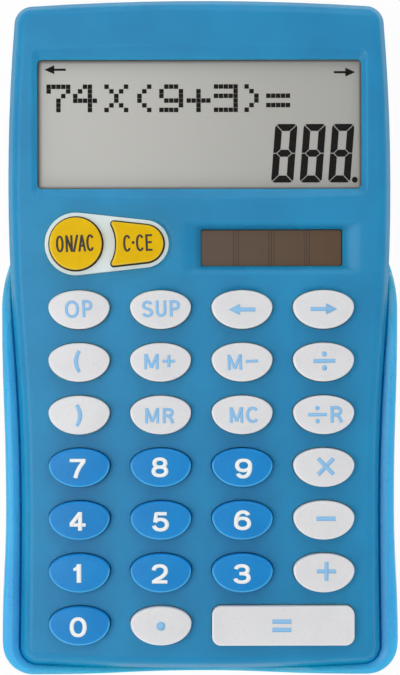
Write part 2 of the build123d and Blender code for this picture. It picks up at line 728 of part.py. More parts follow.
def cross_slot(x, y, z):
    """Cross recess for a driver, cut up into the open part from the height z."""
    with Locations((x, y, z)):
        Box(screw_slot_length, screw_slot, screw_slot_depth,
            align=(Align.CENTER, Align.CENTER, Align.MIN), mode=Mode.SUBTRACT)
        Box(screw_slot, screw_slot_length, screw_slot_depth,
            align=(Align.CENTER, Align.CENTER, Align.MIN), mode=Mode.SUBTRACT)


with BuildPart() as door_screw:
    with Locations((door_screw_x, cell_y, case_back_z)):
        Cone(screw_head_radius, screw_radius, door_plate, align=(Align.CENTER, Align.CENTER, Align.MIN))
        Cylinder(screw_radius, back_floor + cell_height, align=(Align.CENTER, Align.CENTER, Align.MIN))
    cross_slot(door_screw_x, cell_y, case_back_z)
parts["battery_door_screw"] = door_screw.part

seat_z = case_back_z + counterbore_depth
with BuildPart() as case_screws:
    for x, y in case_screw_spots:
        with Locations((x, y, seat_z)):
            Cylinder(screw_head_radius, screw_head_height, align=(Align.CENTER, Align.CENTER, Align.MAX))
            Cylinder(screw_radius, flange_bottom_z - seat_z, align=(Align.CENTER, Align.CENTER, Align.MIN))
        cross_slot(x, y, seat_z - screw_head_height)
parts["case_screws"] = case_screws.part

with BuildPart() as board_screws:
    for x, y in board_screw_spots:
        with Locations((x, y, board_bottom_z)):
            Cylinder(screw_head_radius, screw_head_height, align=(Align.CENTER, Align.CENTER, Align.MAX))
            Cylinder(screw_radius, flange_bottom_z - board_bottom_z,
                     align=(Align.CENTER, Align.CENTER, Align.MIN))
        cross_slot(x, y, board_bottom_z - screw_head_height)
parts["board_screws"] = board_screws.part

os.makedirs("parts", exist_ok=True)
for name, part in parts.items():
    part.label = name
    export_step(part, f"parts/{name}.step")
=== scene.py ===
import logging
import math
from dataclasses import dataclass, field
from enum import Enum
from typing import Any, Sequence

import bmesh
import bpy
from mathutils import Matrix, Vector


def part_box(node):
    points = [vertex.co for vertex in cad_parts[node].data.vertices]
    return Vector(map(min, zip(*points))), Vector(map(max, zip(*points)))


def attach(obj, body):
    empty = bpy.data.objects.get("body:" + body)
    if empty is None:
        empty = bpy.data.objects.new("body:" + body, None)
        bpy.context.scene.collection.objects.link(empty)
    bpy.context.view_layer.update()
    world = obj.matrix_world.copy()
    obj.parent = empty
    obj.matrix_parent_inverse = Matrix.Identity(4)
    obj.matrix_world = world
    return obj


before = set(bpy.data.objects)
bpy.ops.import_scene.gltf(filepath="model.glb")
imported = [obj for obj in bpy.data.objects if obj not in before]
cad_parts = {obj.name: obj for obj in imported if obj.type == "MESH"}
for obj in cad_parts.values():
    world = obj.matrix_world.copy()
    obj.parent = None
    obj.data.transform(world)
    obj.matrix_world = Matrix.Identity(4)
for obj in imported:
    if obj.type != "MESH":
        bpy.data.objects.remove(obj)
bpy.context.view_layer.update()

MM = 0.001
LOG = logging.getLogger("calculator")
# Body that carries every piece but the legends of the keys.
CALCULATOR = "calculator"
# Most values of a noise texture lie between these two.
NOISE_SPAN = (0.3, 0.7)
# Radians that a wave texture of scale one runs through over a unit of length.
WAVE_RATE = 20.0

Point = tuple[float, float]
Colour = tuple[float, float, float, float]
Tree = bpy.types.NodeTree
Socket = bpy.types.NodeSocket


def linear(code: str) -> Colour:
    """Turn an sRGB hex colour into linear light.

    Args:
        code: Colour such as "#2F8BC0".

    Returns:
        Red, green, blue and an alpha of one.
    """
    shares = [int(code[i:i + 2], 16) / 255 for i in (1, 3, 5)]
    red, green, blue = (s / 12.92 if s <= 0.04045 else ((s + 0.055) / 1.055) ** 2.4 for s in shares)
    return red, green, blue, 1.0


def fill(tree: Tree, node: bpy.types.Node, inputs: dict[str | int, Any]) -> None:
    """Fill or link the inputs of a node.

    Args:
        tree: Tree that holds the node.
        node: The node.
        inputs: Values, or sockets to link from, by input name or number.
    """
    for key, value in inputs.items():
        if isinstance(value, Socket):
            tree.links.new(value, node.inputs[key])
        else:
            node.inputs[key].default_value = value


def add_node(tree: Tree, kind: str, settings: dict[str, Any] | None = None,
             inputs: dict[str | int, Any] | None = None) -> bpy.types.Node:
    """Add a node with its settings and inputs.

    Args:
        tree: Tree that gets the node.
        kind: Type name of the node.
        settings: Properties of the node by name.
        inputs: Values, or sockets to link from, by input name or number.

    Returns:
        The new node.
    """
    node = tree.nodes.new(kind)
    for name, value in (settings or {}).items():
        setattr(node, name, value)
    fill(tree, node, inputs or {})
    return node


def number_node(tree: Tree, operation: str, *values: Socket | float) -> Socket:
    """Add a node that works on numbers.

    Args:
        tree: Tree that gets the node.
        operation: What it does.
        *values: Its inputs in order.

    Returns:
        Socket with the number.
    """
    return add_node(tree, "ShaderNodeMath", {"operation": operation}, dict(enumerate(values))).outputs[0]


def vector_node(tree: Tree, operation: str, *values: Socket | tuple[float, ...]) -> Socket:
    """Add a node that works on vectors.

    Args:
        tree: Tree that gets the node.
        operation: What it does.
        *values: Its inputs in order.

    Returns:
        Socket with the vector.
    """
    return add_node(tree, "ShaderNodeVectorMath", {"operation": operation}, dict(enumerate(values))).outputs[0]


def split(tree: Tree, vector: Socket) -> bpy.types.NodeOutputs:
    """Add a node that splits a vector and return its outputs X, Y and Z."""
    return add_node(tree, "ShaderNodeSeparateXYZ", inputs={0: vector}).outputs


def noise(tree: Tree, place: Socket, size_mm: float, detail: float, **more: float) -> Socket:
    """Add a noise texture.

    Args:
        tree: Tree that gets the node.
        place: Socket with the place on the surface.
        size_mm: Size of its largest patches in millimetres.
        detail: How many finer layers it has.
        **more: Other inputs by name.

    Returns:
        Socket with its value.
    """
    return add_node(tree, "ShaderNodeTexNoise", inputs={
        "Vector": place, "Scale": 1 / (size_mm * MM), "Detail": detail, **more}).outputs["Fac"]


def ramp(tree: Tree, value: Socket, span: Point = (0.0, 1.0), to: Point = (0.0, 1.0),
         kind: str = "LINEAR") -> Socket:
    """Add a node that maps one span of numbers to another and stops at its ends.

    Args:
        tree: Tree that gets the node.
        value: Socket with the number.
        span: Numbers at which the ramp starts and ends.
        to: What it gives there.
        kind: Type name of its curve.

    Returns:
        Socket with the mapped number.
    """
    return add_node(tree, "ShaderNodeMapRange", {"interpolation_type": kind}, {
        "Value": value, "From Min": span[0], "From Max": span[1], "To Min": to[0], "To Max": to[1]}).outputs[0]


def blend(tree: Tree, share: Socket | float, first: Socket | Colour, second: Socket | Colour) -> Socket:
    """Add a node that blends two colours.

    Args:
        tree: Tree that gets the node.
        share: Share of the second colour.
        first: Colour at a share of zero.
        second: Colour at a share of one.

    Returns:
        Socket with the colour.
    """
    return add_node(tree, "ShaderNodeMix", {"data_type": "RGBA"}, {0: share, 6: first, 7: second}).outputs[2]


def dim(tree: Tree, colour: Socket, share: Socket) -> Socket:
    """Add a node that scales a colour.

    Args:
        tree: Tree that gets the node.
        colour: Socket with the colour.
        share: Socket with the factor.

    Returns:
        Socket with the scaled colour.
    """
    return add_node(tree, "ShaderNodeVectorMath", {"operation": "SCALE"}, {
        0: colour, "Scale": share}).outputs[0]


def surface_place(tree: Tree) -> Socket:
    """Return a socket with the place on the surface, in metres."""
    return add_node(tree, "ShaderNodeTexCoord").outputs["Object"]


@dataclass(frozen=True)
class Finish:
    """Surface of one real material, made once and shared by its pieces."""

    name: str
    colour: str

    def material(self) -> bpy.types.Material:
        """Make the material the first time it is asked for.

        Returns:
            The material.
        """
        made = bpy.data.materials.get(self.name)
        if made is None:
            made = bpy.data.materials.new(self.name)
            made.use_nodes = True
            tree = made.node_tree
            tree.nodes.clear()
            shader = add_node(tree, "ShaderNodeBsdfPrincipled")
            add_node(tree, "ShaderNodeOutputMaterial", inputs={"Surface": shader.outputs[0]})
            self.paint(tree, shader)
        return made

    def paint(self, tree: Tree, shader: bpy.types.Node) -> None:
        """Set up the shader of this finish.

        Args:
            tree: Node tree of the material.
            shader: Principled shader to set up.
        """
        raise NotImplementedError

    def dress(self, *nodes: str) -> None:
        """Give this finish to CAD nodes by name.

        Args:
            *nodes: Names of the nodes.
        """
        for name in nodes:
            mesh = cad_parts[name].data
            mesh.materials.clear()
            mesh.materials.append(self.material())
            LOG.info("%s is finished in %s", name, self.name)


@dataclass(frozen=True)
class MouldedPlastic(Finish):
    """Injection-moulded plastic: even colour with slow drifts, and the fine grain of its mould.

    Sizes are in millimetres. The grain of a spark-eroded mould is about 0.1 mm, too fine to show
    at this distance, so it is drawn a few times as coarse. The glow is the light that passes inside
    the plastic, the rim a painted highlight: a lighter colour on the round of a key cap. The soft box
    is a part of the surface whose edges are rounded in shading.
    """

    shade: str
    drift_mm: float = 16.0
    drift_low: float = 0.32
    drift_high: float = 0.68
    grain_mm: float = 0.4
    grain_depth_mm: float = 0.012
    rough_low: float = 0.34
    rough_high: float = 0.46
    scuff_mm: float = 7.0
    scuff_share: float = 0.6
    ior: float = 1.53
    specular: float = 0.5
    glow: float = 0.0
    glow_mm: tuple[float, float, float] = (0.5, 0.9, 1.4)
    # Colour of the painted highlight on the round of a key cap's rim; none when empty.
    rim: str = ""
    rim_highlight_share: float = 0.7
    rim_highlight_facing: tuple[tuple[str, float, float], ...] = (("Z", 0.99, 0.9), ("Z", 0.3, 0.6), ("Y", 0.35, -0.15))
    soft_edge_mm: float = 0.0
    soft_centre_mm: Point = (0.0, 0.0)
    soft_half_mm: Point = (1.0, 1.0)
    soft_fade: float = 1.15
    soft_samples: int = 6

    def soften(self, tree: Tree, place: Socket) -> Socket:
        """Round the shading of the edges inside one box of the surface, as a worn-in mould rounds them.

        Args:
            tree: The material's tree.
            place: The socket that gives the place on the surface.

        Returns:
            The socket that gives the softened normal.
        """
        middle = vector_node(tree, "SUBTRACT", place, tuple(v * MM for v in (*self.soft_centre_mm, 0.0)))
        share = vector_node(tree, "DIVIDE", middle, (*(v * MM for v in self.soft_half_mm), 1.0))
        sides = split(tree, vector_node(tree, "ABSOLUTE", share))
        outer = number_node(tree, "MAXIMUM", sides["X"], sides["Y"])
        reach = ramp(tree, outer, (1.0, self.soft_fade), (self.soft_edge_mm * MM, 0.0))
        return add_node(tree, "ShaderNodeBevel", {"samples": self.soft_samples}, {"Radius": reach}).outputs[0]

    def paint_rim_highlight(self, tree: Tree, tint: Socket) -> Socket:
        """Paint a highlight on the round between a cap's top and its wall, on all sides but the one towards the
        display.

        The round is found by its facing: neither level nor upright, and not towards the display.

        Args:
            tree: The material's tree.
            tint: The socket that gives the colour of the plastic.

        Returns:
            The socket that gives the colour with its painted rim highlight.
        """
        facing = add_node(tree, "ShaderNodeNewGeometry").outputs["Normal"]
        sides = split(tree, facing)
        share: Socket | float = self.rim_highlight_share
        for axis, start, end in self.rim_highlight_facing:
            turned = ramp(tree, sides[axis], (start, end), kind="SMOOTHSTEP")
            share = number_node(tree, "MULTIPLY", turned, share)
        return blend(tree, share, tint, linear(self.rim))

    def paint(self, tree: Tree, shader: bpy.types.Node) -> None:
        """Drift the colour and the gloss slowly, raise a fine grain and let a little light pass inside.

        Args:
            tree: Node tree of the material.
            shader: Principled shader to set up.
        """
        place = surface_place(tree)
        drift = noise(tree, place, self.drift_mm, detail=3.0, Roughness=0.55)
        spread = ramp(tree, drift, (self.drift_low, self.drift_high))
        tint = blend(tree, spread, linear(self.colour), linear(self.shade))
        grain = noise(tree, place, self.grain_mm, detail=2.0)
        scuff = noise(tree, place, self.scuff_mm, detail=5.0, Roughness=0.7, Distortion=0.6)
        worn = number_node(tree, "MULTIPLY_ADD", scuff, self.scuff_share, -self.scuff_share / 2)
        gloss = ramp(tree, number_node(tree, "ADD", grain, worn), NOISE_SPAN, (self.rough_low, self.rough_high))
        bump = add_node(tree, "ShaderNodeBump", inputs={
            "Strength": 1.0, "Distance": self.grain_depth_mm * MM, "Height": grain})
        if self.soft_edge_mm:
            fill(tree, bump, {"Normal": self.soften(tree, place)})
        # Where a rim colour is given, a painted highlight lightens the round of the cap's rim.
        fill(tree, shader, {
            "Base Color": self.paint_rim_highlight(tree, tint) if self.rim else tint, "Roughness": gloss,
            "Normal": bump.outputs[0], "IOR": self.ior, "Specular IOR Level": self.specular,
            "Subsurface Weight": self.glow, "Subsurface Radius": self.glow_mm, "Subsurface Scale": MM})


@dataclass(frozen=True)
class PadInk(Finish):
    """Pad-printed ink: opaque, a little thin in places, with a soft satin."""

    thin: str
    patch_mm: float = 0.9
    rough_low: float = 0.38
    rough_high: float = 0.55
    specular: float = 0.5

    def paint(self, tree: Tree, shader: bpy.types.Node) -> None:
        """Let the ink thin out in small patches.

        Args:
            tree: Node tree of the material.
            shader: Principled shader to set up.
        """
        patch = noise(tree, surface_place(tree), self.patch_mm, detail=4.0)
        fill(tree, shader, {
            "Base Color": blend(tree, patch, linear(self.colour), linear(self.thin)),
            "Roughness": ramp(tree, patch, to=(self.rough_low, self.rough_high)),
            "Specular IOR Level": self.specular})


@dataclass(frozen=True)
class CrystalGlass(Finish):
    """Reflective liquid-crystal glass: warm grey polariser film, with a painted shade that darkens it towards
    one side.
    """

    far: str
    near_x_mm: float = -32.0
    far_x_mm: float = 34.0
    speck_mm: float = 0.35
    speck_share: float = 0.045
    rough_low: float = 0.42
    rough_high: float = 0.56
    specular: float = 0.25

    def paint(self, tree: Tree, shader: bpy.types.Node) -> None:
        """Grade the grey darker across the glass as a painted shade, and break it with the specks of the
        reflector film.

        Args:
            tree: Node tree of the material.
            shader: Principled shader to set up.
        """
        place = surface_place(tree)
        along = split(tree, place)["X"]
        # Painted shade: the grey darkens from the left of the glass to the right.
        grade = ramp(tree, along, (self.near_x_mm * MM, self.far_x_mm * MM), kind="SMOOTHSTEP")
        tint = blend(tree, grade, linear(self.colour), linear(self.far))
        specks = noise(tree, place, self.speck_mm, detail=3.0)
        light = ramp(tree, specks, to=(1 - self.speck_share, 1 + self.speck_share))
        fill(tree, shader, {
            "Base Color": dim(tree, tint, light),
            "Roughness": ramp(tree, specks, to=(self.rough_low, self.rough_high)),
            "Specular IOR Level": self.specular})


@dataclass(frozen=True)
class ClearAcrylic(Finish):
    """Clear cast acrylic: nearly nothing but a faint polished sheen."""

    haze: float = 0.025
    ripple_mm: float = 9.0
    rough_low: float = 0.03
    rough_high: float = 0.09
    ior: float = 1.49

    def paint(self, tree: Tree, shader: bpy.types.Node) -> None:
        """Keep the sheet clear, with faint ripples left by polishing.

        Args:
            tree: Node tree of the material.
            shader: Principled shader to set up.
        """
        ripple = noise(tree, surface_place(tree), self.ripple_mm, detail=2.0)
        fill(tree, shader, {
            "Base Color": linear(self.colour), "IOR": self.ior, "Alpha": self.haze,
            "Roughness": ramp(tree, ripple, to=(self.rough_low, self.rough_high))})


@dataclass(frozen=True)
class PaintedEdgeShadow(Finish):
    """Painted shadow of a window's edge: dark at the rim of the window, fading to the grey of the glass."""

    inner: str
    centre_mm: Point
    half_mm: Point
    fade_mm: float
    roughness: float = 0.6
    specular: float = 0.2

    def paint(self, tree: Tree, shader: bpy.types.Node) -> None:
        """Darken the painted shadow with its distance from the opening's inner edge.

        Args:
            tree: Node tree of the material.
            shader: Principled shader to set up.
        """
        middle, half = (tuple(v * MM for v in (*spot, 0.0)) for spot in (self.centre_mm, self.half_mm))
        reach = vector_node(tree, "ABSOLUTE", vector_node(tree, "SUBTRACT", surface_place(tree), middle))
        past = vector_node(tree, "SUBTRACT", reach, half)
        sides = split(tree, past)
        fade = ramp(tree, number_node(tree, "MAXIMUM", sides["X"], sides["Y"]), (0.0, self.fade_mm * MM))
        fill(tree, shader, {
            "Base Color": blend(tree, fade, linear(self.inner), linear(self.colour)),
            "Roughness": self.roughness, "Specular IOR Level": self.specular})


@dataclass(frozen=True)
class SiliconFilm(Finish):
    """Amorphous silicon on glass: brown film under glass, with fine stripes from scribing."""

    far: str
    far_x_mm: float = 28.0
    stripe_mm: float = 0.9
    stripe_length_mm: float = 30.0
    stripe_share: float = 0.04
    roughness: float = 0.4
    specular: float = 0.3

    def paint(self, tree: Tree, shader: bpy.types.Node) -> None:
        """Drift the brown from cell to cell and draw faint upright stripes in the film.

        Args:
            tree: Node tree of the material.
            shader: Principled shader to set up.
        """
        place = surface_place(tree)
        along = split(tree, place)["X"]
        grade = ramp(tree, along, (0.0, self.far_x_mm * MM))
        tint = blend(tree, grade, linear(self.colour), linear(self.far))
        # Stretched so that each stripe is one millimetre wide.
        stretch = add_node(tree, "ShaderNodeMapping", inputs={
            "Vector": place, "Scale": (1 / self.stripe_mm, 1 / self.stripe_length_mm, MM)}).outputs[0]
        stripes = noise(tree, stretch, size_mm=1.0, detail=3.0)
        light = ramp(tree, stripes, NOISE_SPAN, (1 - self.stripe_share, 1 + self.stripe_share))
        fill(tree, shader, {
            "Base Color": dim(tree, tint, light), "Roughness": self.roughness,
            "Specular IOR Level": self.specular})


@dataclass(frozen=True)
class PlatedSteel(Finish):
    """Plated steel: bright metal with drawn or turned streaks that blur its reflections."""

    streak_mm: float = 0.25
    streak_length_mm: float = 4.0
    rough_low: float = 0.22
    rough_high: float = 0.42

    def paint(self, tree: Tree, shader: bpy.types.Node) -> None:
        """Streak the gloss of the metal.

        Args:
            tree: Node tree of the material.
            shader: Principled shader to set up.
        """
        along = 1 / self.streak_length_mm
        # Stretched so that each streak is one millimetre wide.
        stretch = add_node(tree, "ShaderNodeMapping", inputs={
            "Vector": surface_place(tree), "Scale": (1 / self.streak_mm, along, along)}).outputs[0]
        streaks = noise(tree, stretch, size_mm=1.0, detail=4.0)
        fill(tree, shader, {
            "Base Color": linear(self.colour), "Metallic": 1.0,
            "Roughness": ramp(tree, streaks, NOISE_SPAN, (self.rough_low, self.rough_high))})


@dataclass(frozen=True)
class BandedSheet(Finish):
    """Layered or woven sheet, such as a glass-fibre board or a contact strip: even bands across it."""

    band: str
    pitch_mm: float
    roughness: float = 0.5
    ridge_mm: float = 0.01
    ridge_strength: float = 0.4

    def paint(self, tree: Tree, shader: bpy.types.Node) -> None:
        """Draw even bands along X at the real pitch.

        Args:
            tree: Node tree of the material.
            shader: Principled shader to set up.
        """
        bands = add_node(tree, "ShaderNodeTexWave", {"bands_direction": "X"}, {
            "Vector": surface_place(tree), "Scale": 2 * math.pi / (WAVE_RATE * self.pitch_mm * MM),
            "Distortion": 0.4, "Detail": 1.0}).outputs["Fac"]
        bump = add_node(tree, "ShaderNodeBump", inputs={
            "Strength": self.ridge_strength, "Distance": self.ridge_mm * MM, "Height": bands})
        fill(tree, shader, {
            "Base Color": blend(tree, bands, linear(self.colour), linear(self.band)),
            "Normal": bump.outputs[0], "Roughness": self.roughness})


# Satin ABS of the case: deep saturated blue under a soft haze of gloss, fine even grain.
CASE_ABS = MouldedPlastic("satin_abs_blue", "#0A93C3", "#0689B9", rough_low=0.36, rough_high=0.46,
                          grain_depth_mm=0.026, specular=0.38, glow=1.0, glow_mm=(1.4, 1.8, 1.8),
                          soft_edge_mm=2.0, soft_centre_mm=(14.0, 18.1), soft_half_mm=(21.0, 8.0))
# Glossier ABS of the cover: lighter blue, a clear bright line along its rim.
COVER_ABS = MouldedPlastic("gloss_abs_sky_blue", "#42A6F0", "#3A9EE8", rough_low=0.26, rough_high=0.34,
                           grain_depth_mm=0.003, specular=0.35, glow=1.0, glow_mm=(3.0, 11.0, 12.0))
# White key ABS: cool off-white with a low sheen, and a painted highlight on the round of its rim.
WHITE_KEY_ABS = MouldedPlastic("key_abs_white", "#DEDEE0", "#D8D8DB", drift_mm=9.0, rough_low=0.26,
                               rough_high=0.33, grain_depth_mm=0.002, specular=0.4, glow=0.2,
                               rim="#F4F2F3")
# Blue key ABS: clearer and deeper than the case, with a painted highlight on the round of its rim.
BLUE_KEY_ABS = MouldedPlastic("key_abs_blue", "#0D8ACF", "#0982C7", drift_mm=7.0, rough_low=0.27,
                              rough_high=0.35, grain_depth_mm=0.018, specular=0.25, glow=0.5,
                              rim="#56BAEE", rim_highlight_share=0.8)
# Yellow key ABS: warm golden yellow with a clear gloss, and a painted highlight on the round of its rim.
YELLOW_KEY_ABS = MouldedPlastic("key_abs_yellow", "#E6BC00", "#DCB100", drift_mm=8.0, rough_low=0.13,
                                rough_high=0.18, grain_depth_mm=0.004, specular=0.18, glow=0.2,
                                rim="#F2D24E", rim_highlight_share=0.5)
# Pale inlay ABS: icy grey that frames the yellow keys.
INLAY_ABS = MouldedPlastic("inlay_abs_pale", "#DAEAF0", "#D2E3EA", drift_mm=8.0, rough_low=0.30,
                           rough_high=0.40, grain_depth_mm=0.006)
# Plain white polystyrene of the frame behind the window.
FRAME_PS = MouldedPlastic("frame_polystyrene_white", "#D9D9D4", "#CFCFC9")
# Black epoxy that seals the chip: glossy and slightly uneven.
EPOXY = MouldedPlastic("chip_epoxy_black", "#17171A", "#0E0E10", rough_low=0.18, rough_high=0.34)
# PVC sleeve of the capacitor: black with a low gloss.
SLEEVE = MouldedPlastic("capacitor_sleeve_black", "#1C1C20", "#141417")
# PVC insulation of the two leads: plain red and plain black.
RED_PVC = MouldedPlastic("lead_pvc_red", "#B01815", "#9C1310")
BLACK_PVC = MouldedPlastic("lead_pvc_black", "#1A1A1A", "#121212")
# Silicone of the key mat: dull grey rubber.
SILICONE = MouldedPlastic("mat_silicone_grey", "#A3A5A6", "#96989A", rough_low=0.55, rough_high=0.7)
# Green solder mask over woven glass fibre: the weave shows faintly through.
BOARD = BandedSheet("board_solder_mask_green", "#1A5A30", "#17502B", 0.6)
# Contact strip of conductive and plain elastomer in turn: fine dark and pale bands.
ZEBRA = BandedSheet("contact_elastomer_banded", "#8E8E90", "#2C2C2E", 0.2, 0.7)
# Nickel-plated can, sprung contacts and zinc-plated screws: bright, brighter and dull metal.
CELL_STEEL = PlatedSteel("cell_nickel_steel", "#C2C1BD")
CONTACT_STEEL = PlatedSteel("contact_spring_steel", "#C8C6C0")
SCREW_STEEL = PlatedSteel("screw_zinc_steel", "#A9AAAC", rough_low=0.3, rough_high=0.5)
# Painted shadow in the gaps round the yellow keys: a dull, nearly black ring.
GAP_SHADE_RING = MouldedPlastic("gap_shade_ring_dark", "#211C14", "#29231A", rough_low=0.5, rough_high=0.6,
                         specular=0.2)
# Display: warm grey glass, with a painted shade darker towards the right, under a clear window.
LCD_GLASS = CrystalGlass("lcd_glass_grey", "#C3C2BD", "#ADACA7")
WINDOW_ACRYLIC = ClearAcrylic("window_acrylic_clear", "#7C7C7A")
# Solar cell: brown film with darker scribed lines, inside a nearly black painted shadow of the opening's edge.
SOLAR_FILM = SiliconFilm("solar_silicon_brown", "#5A4A3F", "#58432F")
SOLAR_SCRIBE = PadInk("solar_scribe_dark", "#2C231E", "#352A24", specular=0.2)
SOLAR_EDGE_SHADOW = PadInk("solar_painted_edge_shadow", "#141618", "#1B1D20", specular=0.2)
# Inks: white on blue keys, light blue on white keys, slate on yellow keys, and dark crystal.
WHITE_INK = PadInk("key_ink_white", "#F4F6F6", "#ECF0F2")
SKY_INK = PadInk("key_ink_sky_blue", "#80BAE8", "#90C4EC")
SLATE_INK = PadInk("key_ink_slate", "#36332E", "#403C36", specular=0.25)
CRYSTAL_INK = PadInk("lcd_crystal_dark", "#0A0705", "#0E0B09", specular=0.03)


class KeyGroup(Enum):
    """Groups of key caps, by the plastic that they are moulded in."""

    DIGIT = BLUE_KEY_ABS
    FUNCTION = WHITE_KEY_ABS
    CLEARING = YELLOW_KEY_ABS


class Run(str, Enum):
    """How a pen stroke runs on to its next point."""

    MOVE = "M"
    LINE = "L"
    CURVE = "Q"
    ARC = "A"


def store_piece(name: str, mesh: bpy.types.Mesh, finish: Finish, body: str = CALCULATOR) -> None:
    """Put a finished mesh in the scene as a piece that rides on a body.

    Args:
        name: Name of the piece.
        mesh: Its mesh, in place in the frame.
        finish: Its finish.
        body: Name of the body that carries it.
    """
    if not mesh.materials:
        mesh.materials.append(finish.material())
    mesh.name = name
    piece = bpy.data.objects.new(name, mesh)
    bpy.context.scene.collection.objects.link(piece)
    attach(piece, body)
    LOG.info("%s rides on %s in %s, %d faces", name, body, finish.name, len(mesh.polygons))


@dataclass
class ShapeTree:
    """Geometry Nodes tree with named inputs, run once on a source and kept as a plain mesh."""

    name: str
    tree: bpy.types.GeometryNodeTree = field(init=False)

    def __post_init__(self) -> None:
        """Start the tree with its geometry sockets, then let the kind of tree fill it."""
        self.tree = bpy.data.node_groups.new(self.name, "GeometryNodeTree")
        self.tree.interface.new_socket("Geometry", in_out="INPUT", socket_type="NodeSocketGeometry")
        for title, kind in self.sockets().items():
            self.tree.interface.new_socket(title, in_out="INPUT", socket_type=kind)
        self.tree.interface.new_socket("Geometry", in_out="OUTPUT", socket_type="NodeSocketGeometry")
        given = add_node(self.tree, "NodeGroupInput").outputs
        solid = add_node(self.tree, "GeometryNodeRealizeInstances", inputs={0: self.shape(given)})
        inked = add_node(self.tree, "GeometryNodeSetMaterial", inputs={
            "Geometry": solid.outputs[0], "Material": given["Material"]})
        add_node(self.tree, "NodeGroupOutput", inputs={0: inked.outputs[0]})

    def sockets(self) -> dict[str, str]:
        """Return the named inputs of the tree and their socket types."""
        raise NotImplementedError

    def shape(self, given: bpy.types.NodeOutputs) -> Socket:
        """Build the nodes that make the shape.

        Args:
            given: Outputs of the group input.

        Returns:
            Socket with the shape.
        """
        raise NotImplementedError

    def run(self, source: bpy.types.Mesh, values: dict[str, Any]) -> bpy.types.Mesh:
        """Run the tree on a mesh.

        Args:
            source: Points or lines that the tree works on.
            values: Values of the named inputs.

        Returns:
            The result as a plain mesh.
        """
        carrier = bpy.data.objects.new("carrier", source)
        bpy.context.scene.collection.objects.link(carrier)
        modifier = carrier.modifiers.new("shape", "NODES")
        modifier.node_group = self.tree
        for item in self.tree.interface.items_tree:
            if item.item_type == "SOCKET" and item.in_out == "INPUT" and item.name in values:
                modifier[item.identifier] = values[item.name]
        depsgraph = bpy.context.evaluated_depsgraph_get()
        mesh = bpy.data.meshes.new_from_object(carrier.evaluated_get(depsgraph), depsgraph=depsgraph)
        bpy.data.objects.remove(carrier)
        bpy.data.meshes.remove(source)
        return mesh


@dataclass
class RibbonTree(ShapeTree):
    """Flat ribbon of ink along each line of the source, laid on a flat or domed key top."""

    name: str = "ink_ribbon"

    def sockets(self) -> dict[str, str]:
        """Name the spacing and thickness of the ribbon and the dome that it lies on."""
        return {"Spacing": "NodeSocketFloat", "Thickness": "NodeSocketFloat", "Centre": "NodeSocketVector",
                "Crown Radius": "NodeSocketFloat", "Surface Height": "NodeSocketFloat",
                "Material": "NodeSocketMaterial"}

    def shape(self, given: bpy.types.NodeOutputs) -> Socket:
        """Sweep a thin bar as wide as the pen attribute, then drop each point onto the dome.

        Args:
            given: Outputs of the group input.

        Returns:
            Socket with the ribbon.
        """
        tree = self.tree
        lines = add_node(tree, "GeometryNodeMeshToCurve", inputs={0: given["Geometry"]})
        evened = add_node(tree, "GeometryNodeResampleCurve", {"mode": "LENGTH"}, {
            "Curve": lines.outputs[0], "Length": given["Spacing"]})
        level = add_node(tree, "GeometryNodeSetCurveNormal", {"mode": "Z_UP"}, {0: evened.outputs[0]})
        pen = add_node(tree, "GeometryNodeInputNamedAttribute", {"data_type": "FLOAT"}, {"Name": "pen"})
        profile = add_node(tree, "GeometryNodeCurvePrimitiveQuadrilateral", inputs={
            "Width": 1.0, "Height": number_node(tree, "DIVIDE", given["Thickness"], MM)})
        sweep = add_node(tree, "GeometryNodeCurveToMesh", inputs={
            "Curve": level.outputs[0], "Profile Curve": profile.outputs[0], "Scale": pen.outputs[0],
            "Fill Caps": True})
        place, radius = add_node(tree, "GeometryNodeInputPosition").outputs[0], given["Crown Radius"]
        reach = vector_node(tree, "SUBTRACT", place, given["Centre"])
        flat = vector_node(tree, "MULTIPLY", reach, (1.0, 1.0, 0.0))
        square = add_node(tree, "ShaderNodeVectorMath", {"operation": "DOT_PRODUCT"}, {0: flat, 1: flat})
        ball = number_node(tree, "MULTIPLY", radius, radius)
        left = number_node(tree, "SUBTRACT", ball, square.outputs["Value"])
        rise = number_node(tree, "SQRT", number_node(tree, "MAXIMUM", left, 0.0))
        drop = number_node(tree, "SUBTRACT", rise, radius)
        shift = add_node(tree, "ShaderNodeCombineXYZ", inputs={
            "Z": number_node(tree, "ADD", drop, given["Surface Height"])})
        laid = add_node(tree, "GeometryNodeSetPosition", inputs={
            "Geometry": sweep.outputs[0], "Offset": shift.outputs[0]})
        return laid.outputs[0]


# Steps round each corner of a display dot.
DOT_CORNER_STEPS = 3


@dataclass
class DotTree(ShapeTree):
    """Rounded square dot on each point of the source."""

    name: str = "display_dots"

    def sockets(self) -> dict[str, str]:
        """Name the side, corner and thickness of a dot."""
        return {"Side": "NodeSocketFloat", "Corner": "NodeSocketFloat", "Thickness": "NodeSocketFloat",
                "Material": "NodeSocketMaterial"}

    def shape(self, given: bpy.types.NodeOutputs) -> Socket:
        """Raise a rounded square by the thickness and place one on each point.

        Args:
            given: Outputs of the group input.

        Returns:
            Socket with the dots.
        """
        tree = self.tree
        square = add_node(tree, "GeometryNodeCurvePrimitiveQuadrilateral", inputs={
            "Width": given["Side"], "Height": given["Side"]})
        rounded = add_node(tree, "GeometryNodeFilletCurve", {"mode": "POLY"}, {
            "Curve": square.outputs[0], "Count": DOT_CORNER_STEPS, "Radius": given["Corner"]})
        top = add_node(tree, "ShaderNodeCombineXYZ", inputs={"Z": given["Thickness"]})
        rise = add_node(tree, "GeometryNodeCurvePrimitiveLine", inputs={"End": top.outputs[0]})
        prism = add_node(tree, "GeometryNodeCurveToMesh", inputs={
            "Curve": rise.outputs[0], "Profile Curve": rounded.outputs[0], "Fill Caps": True})
        dots = add_node(tree, "GeometryNodeInstanceOnPoints", inputs={
            "Points": given["Geometry"], "Instance": prism.outputs[0]})
        return dots.outputs[0]


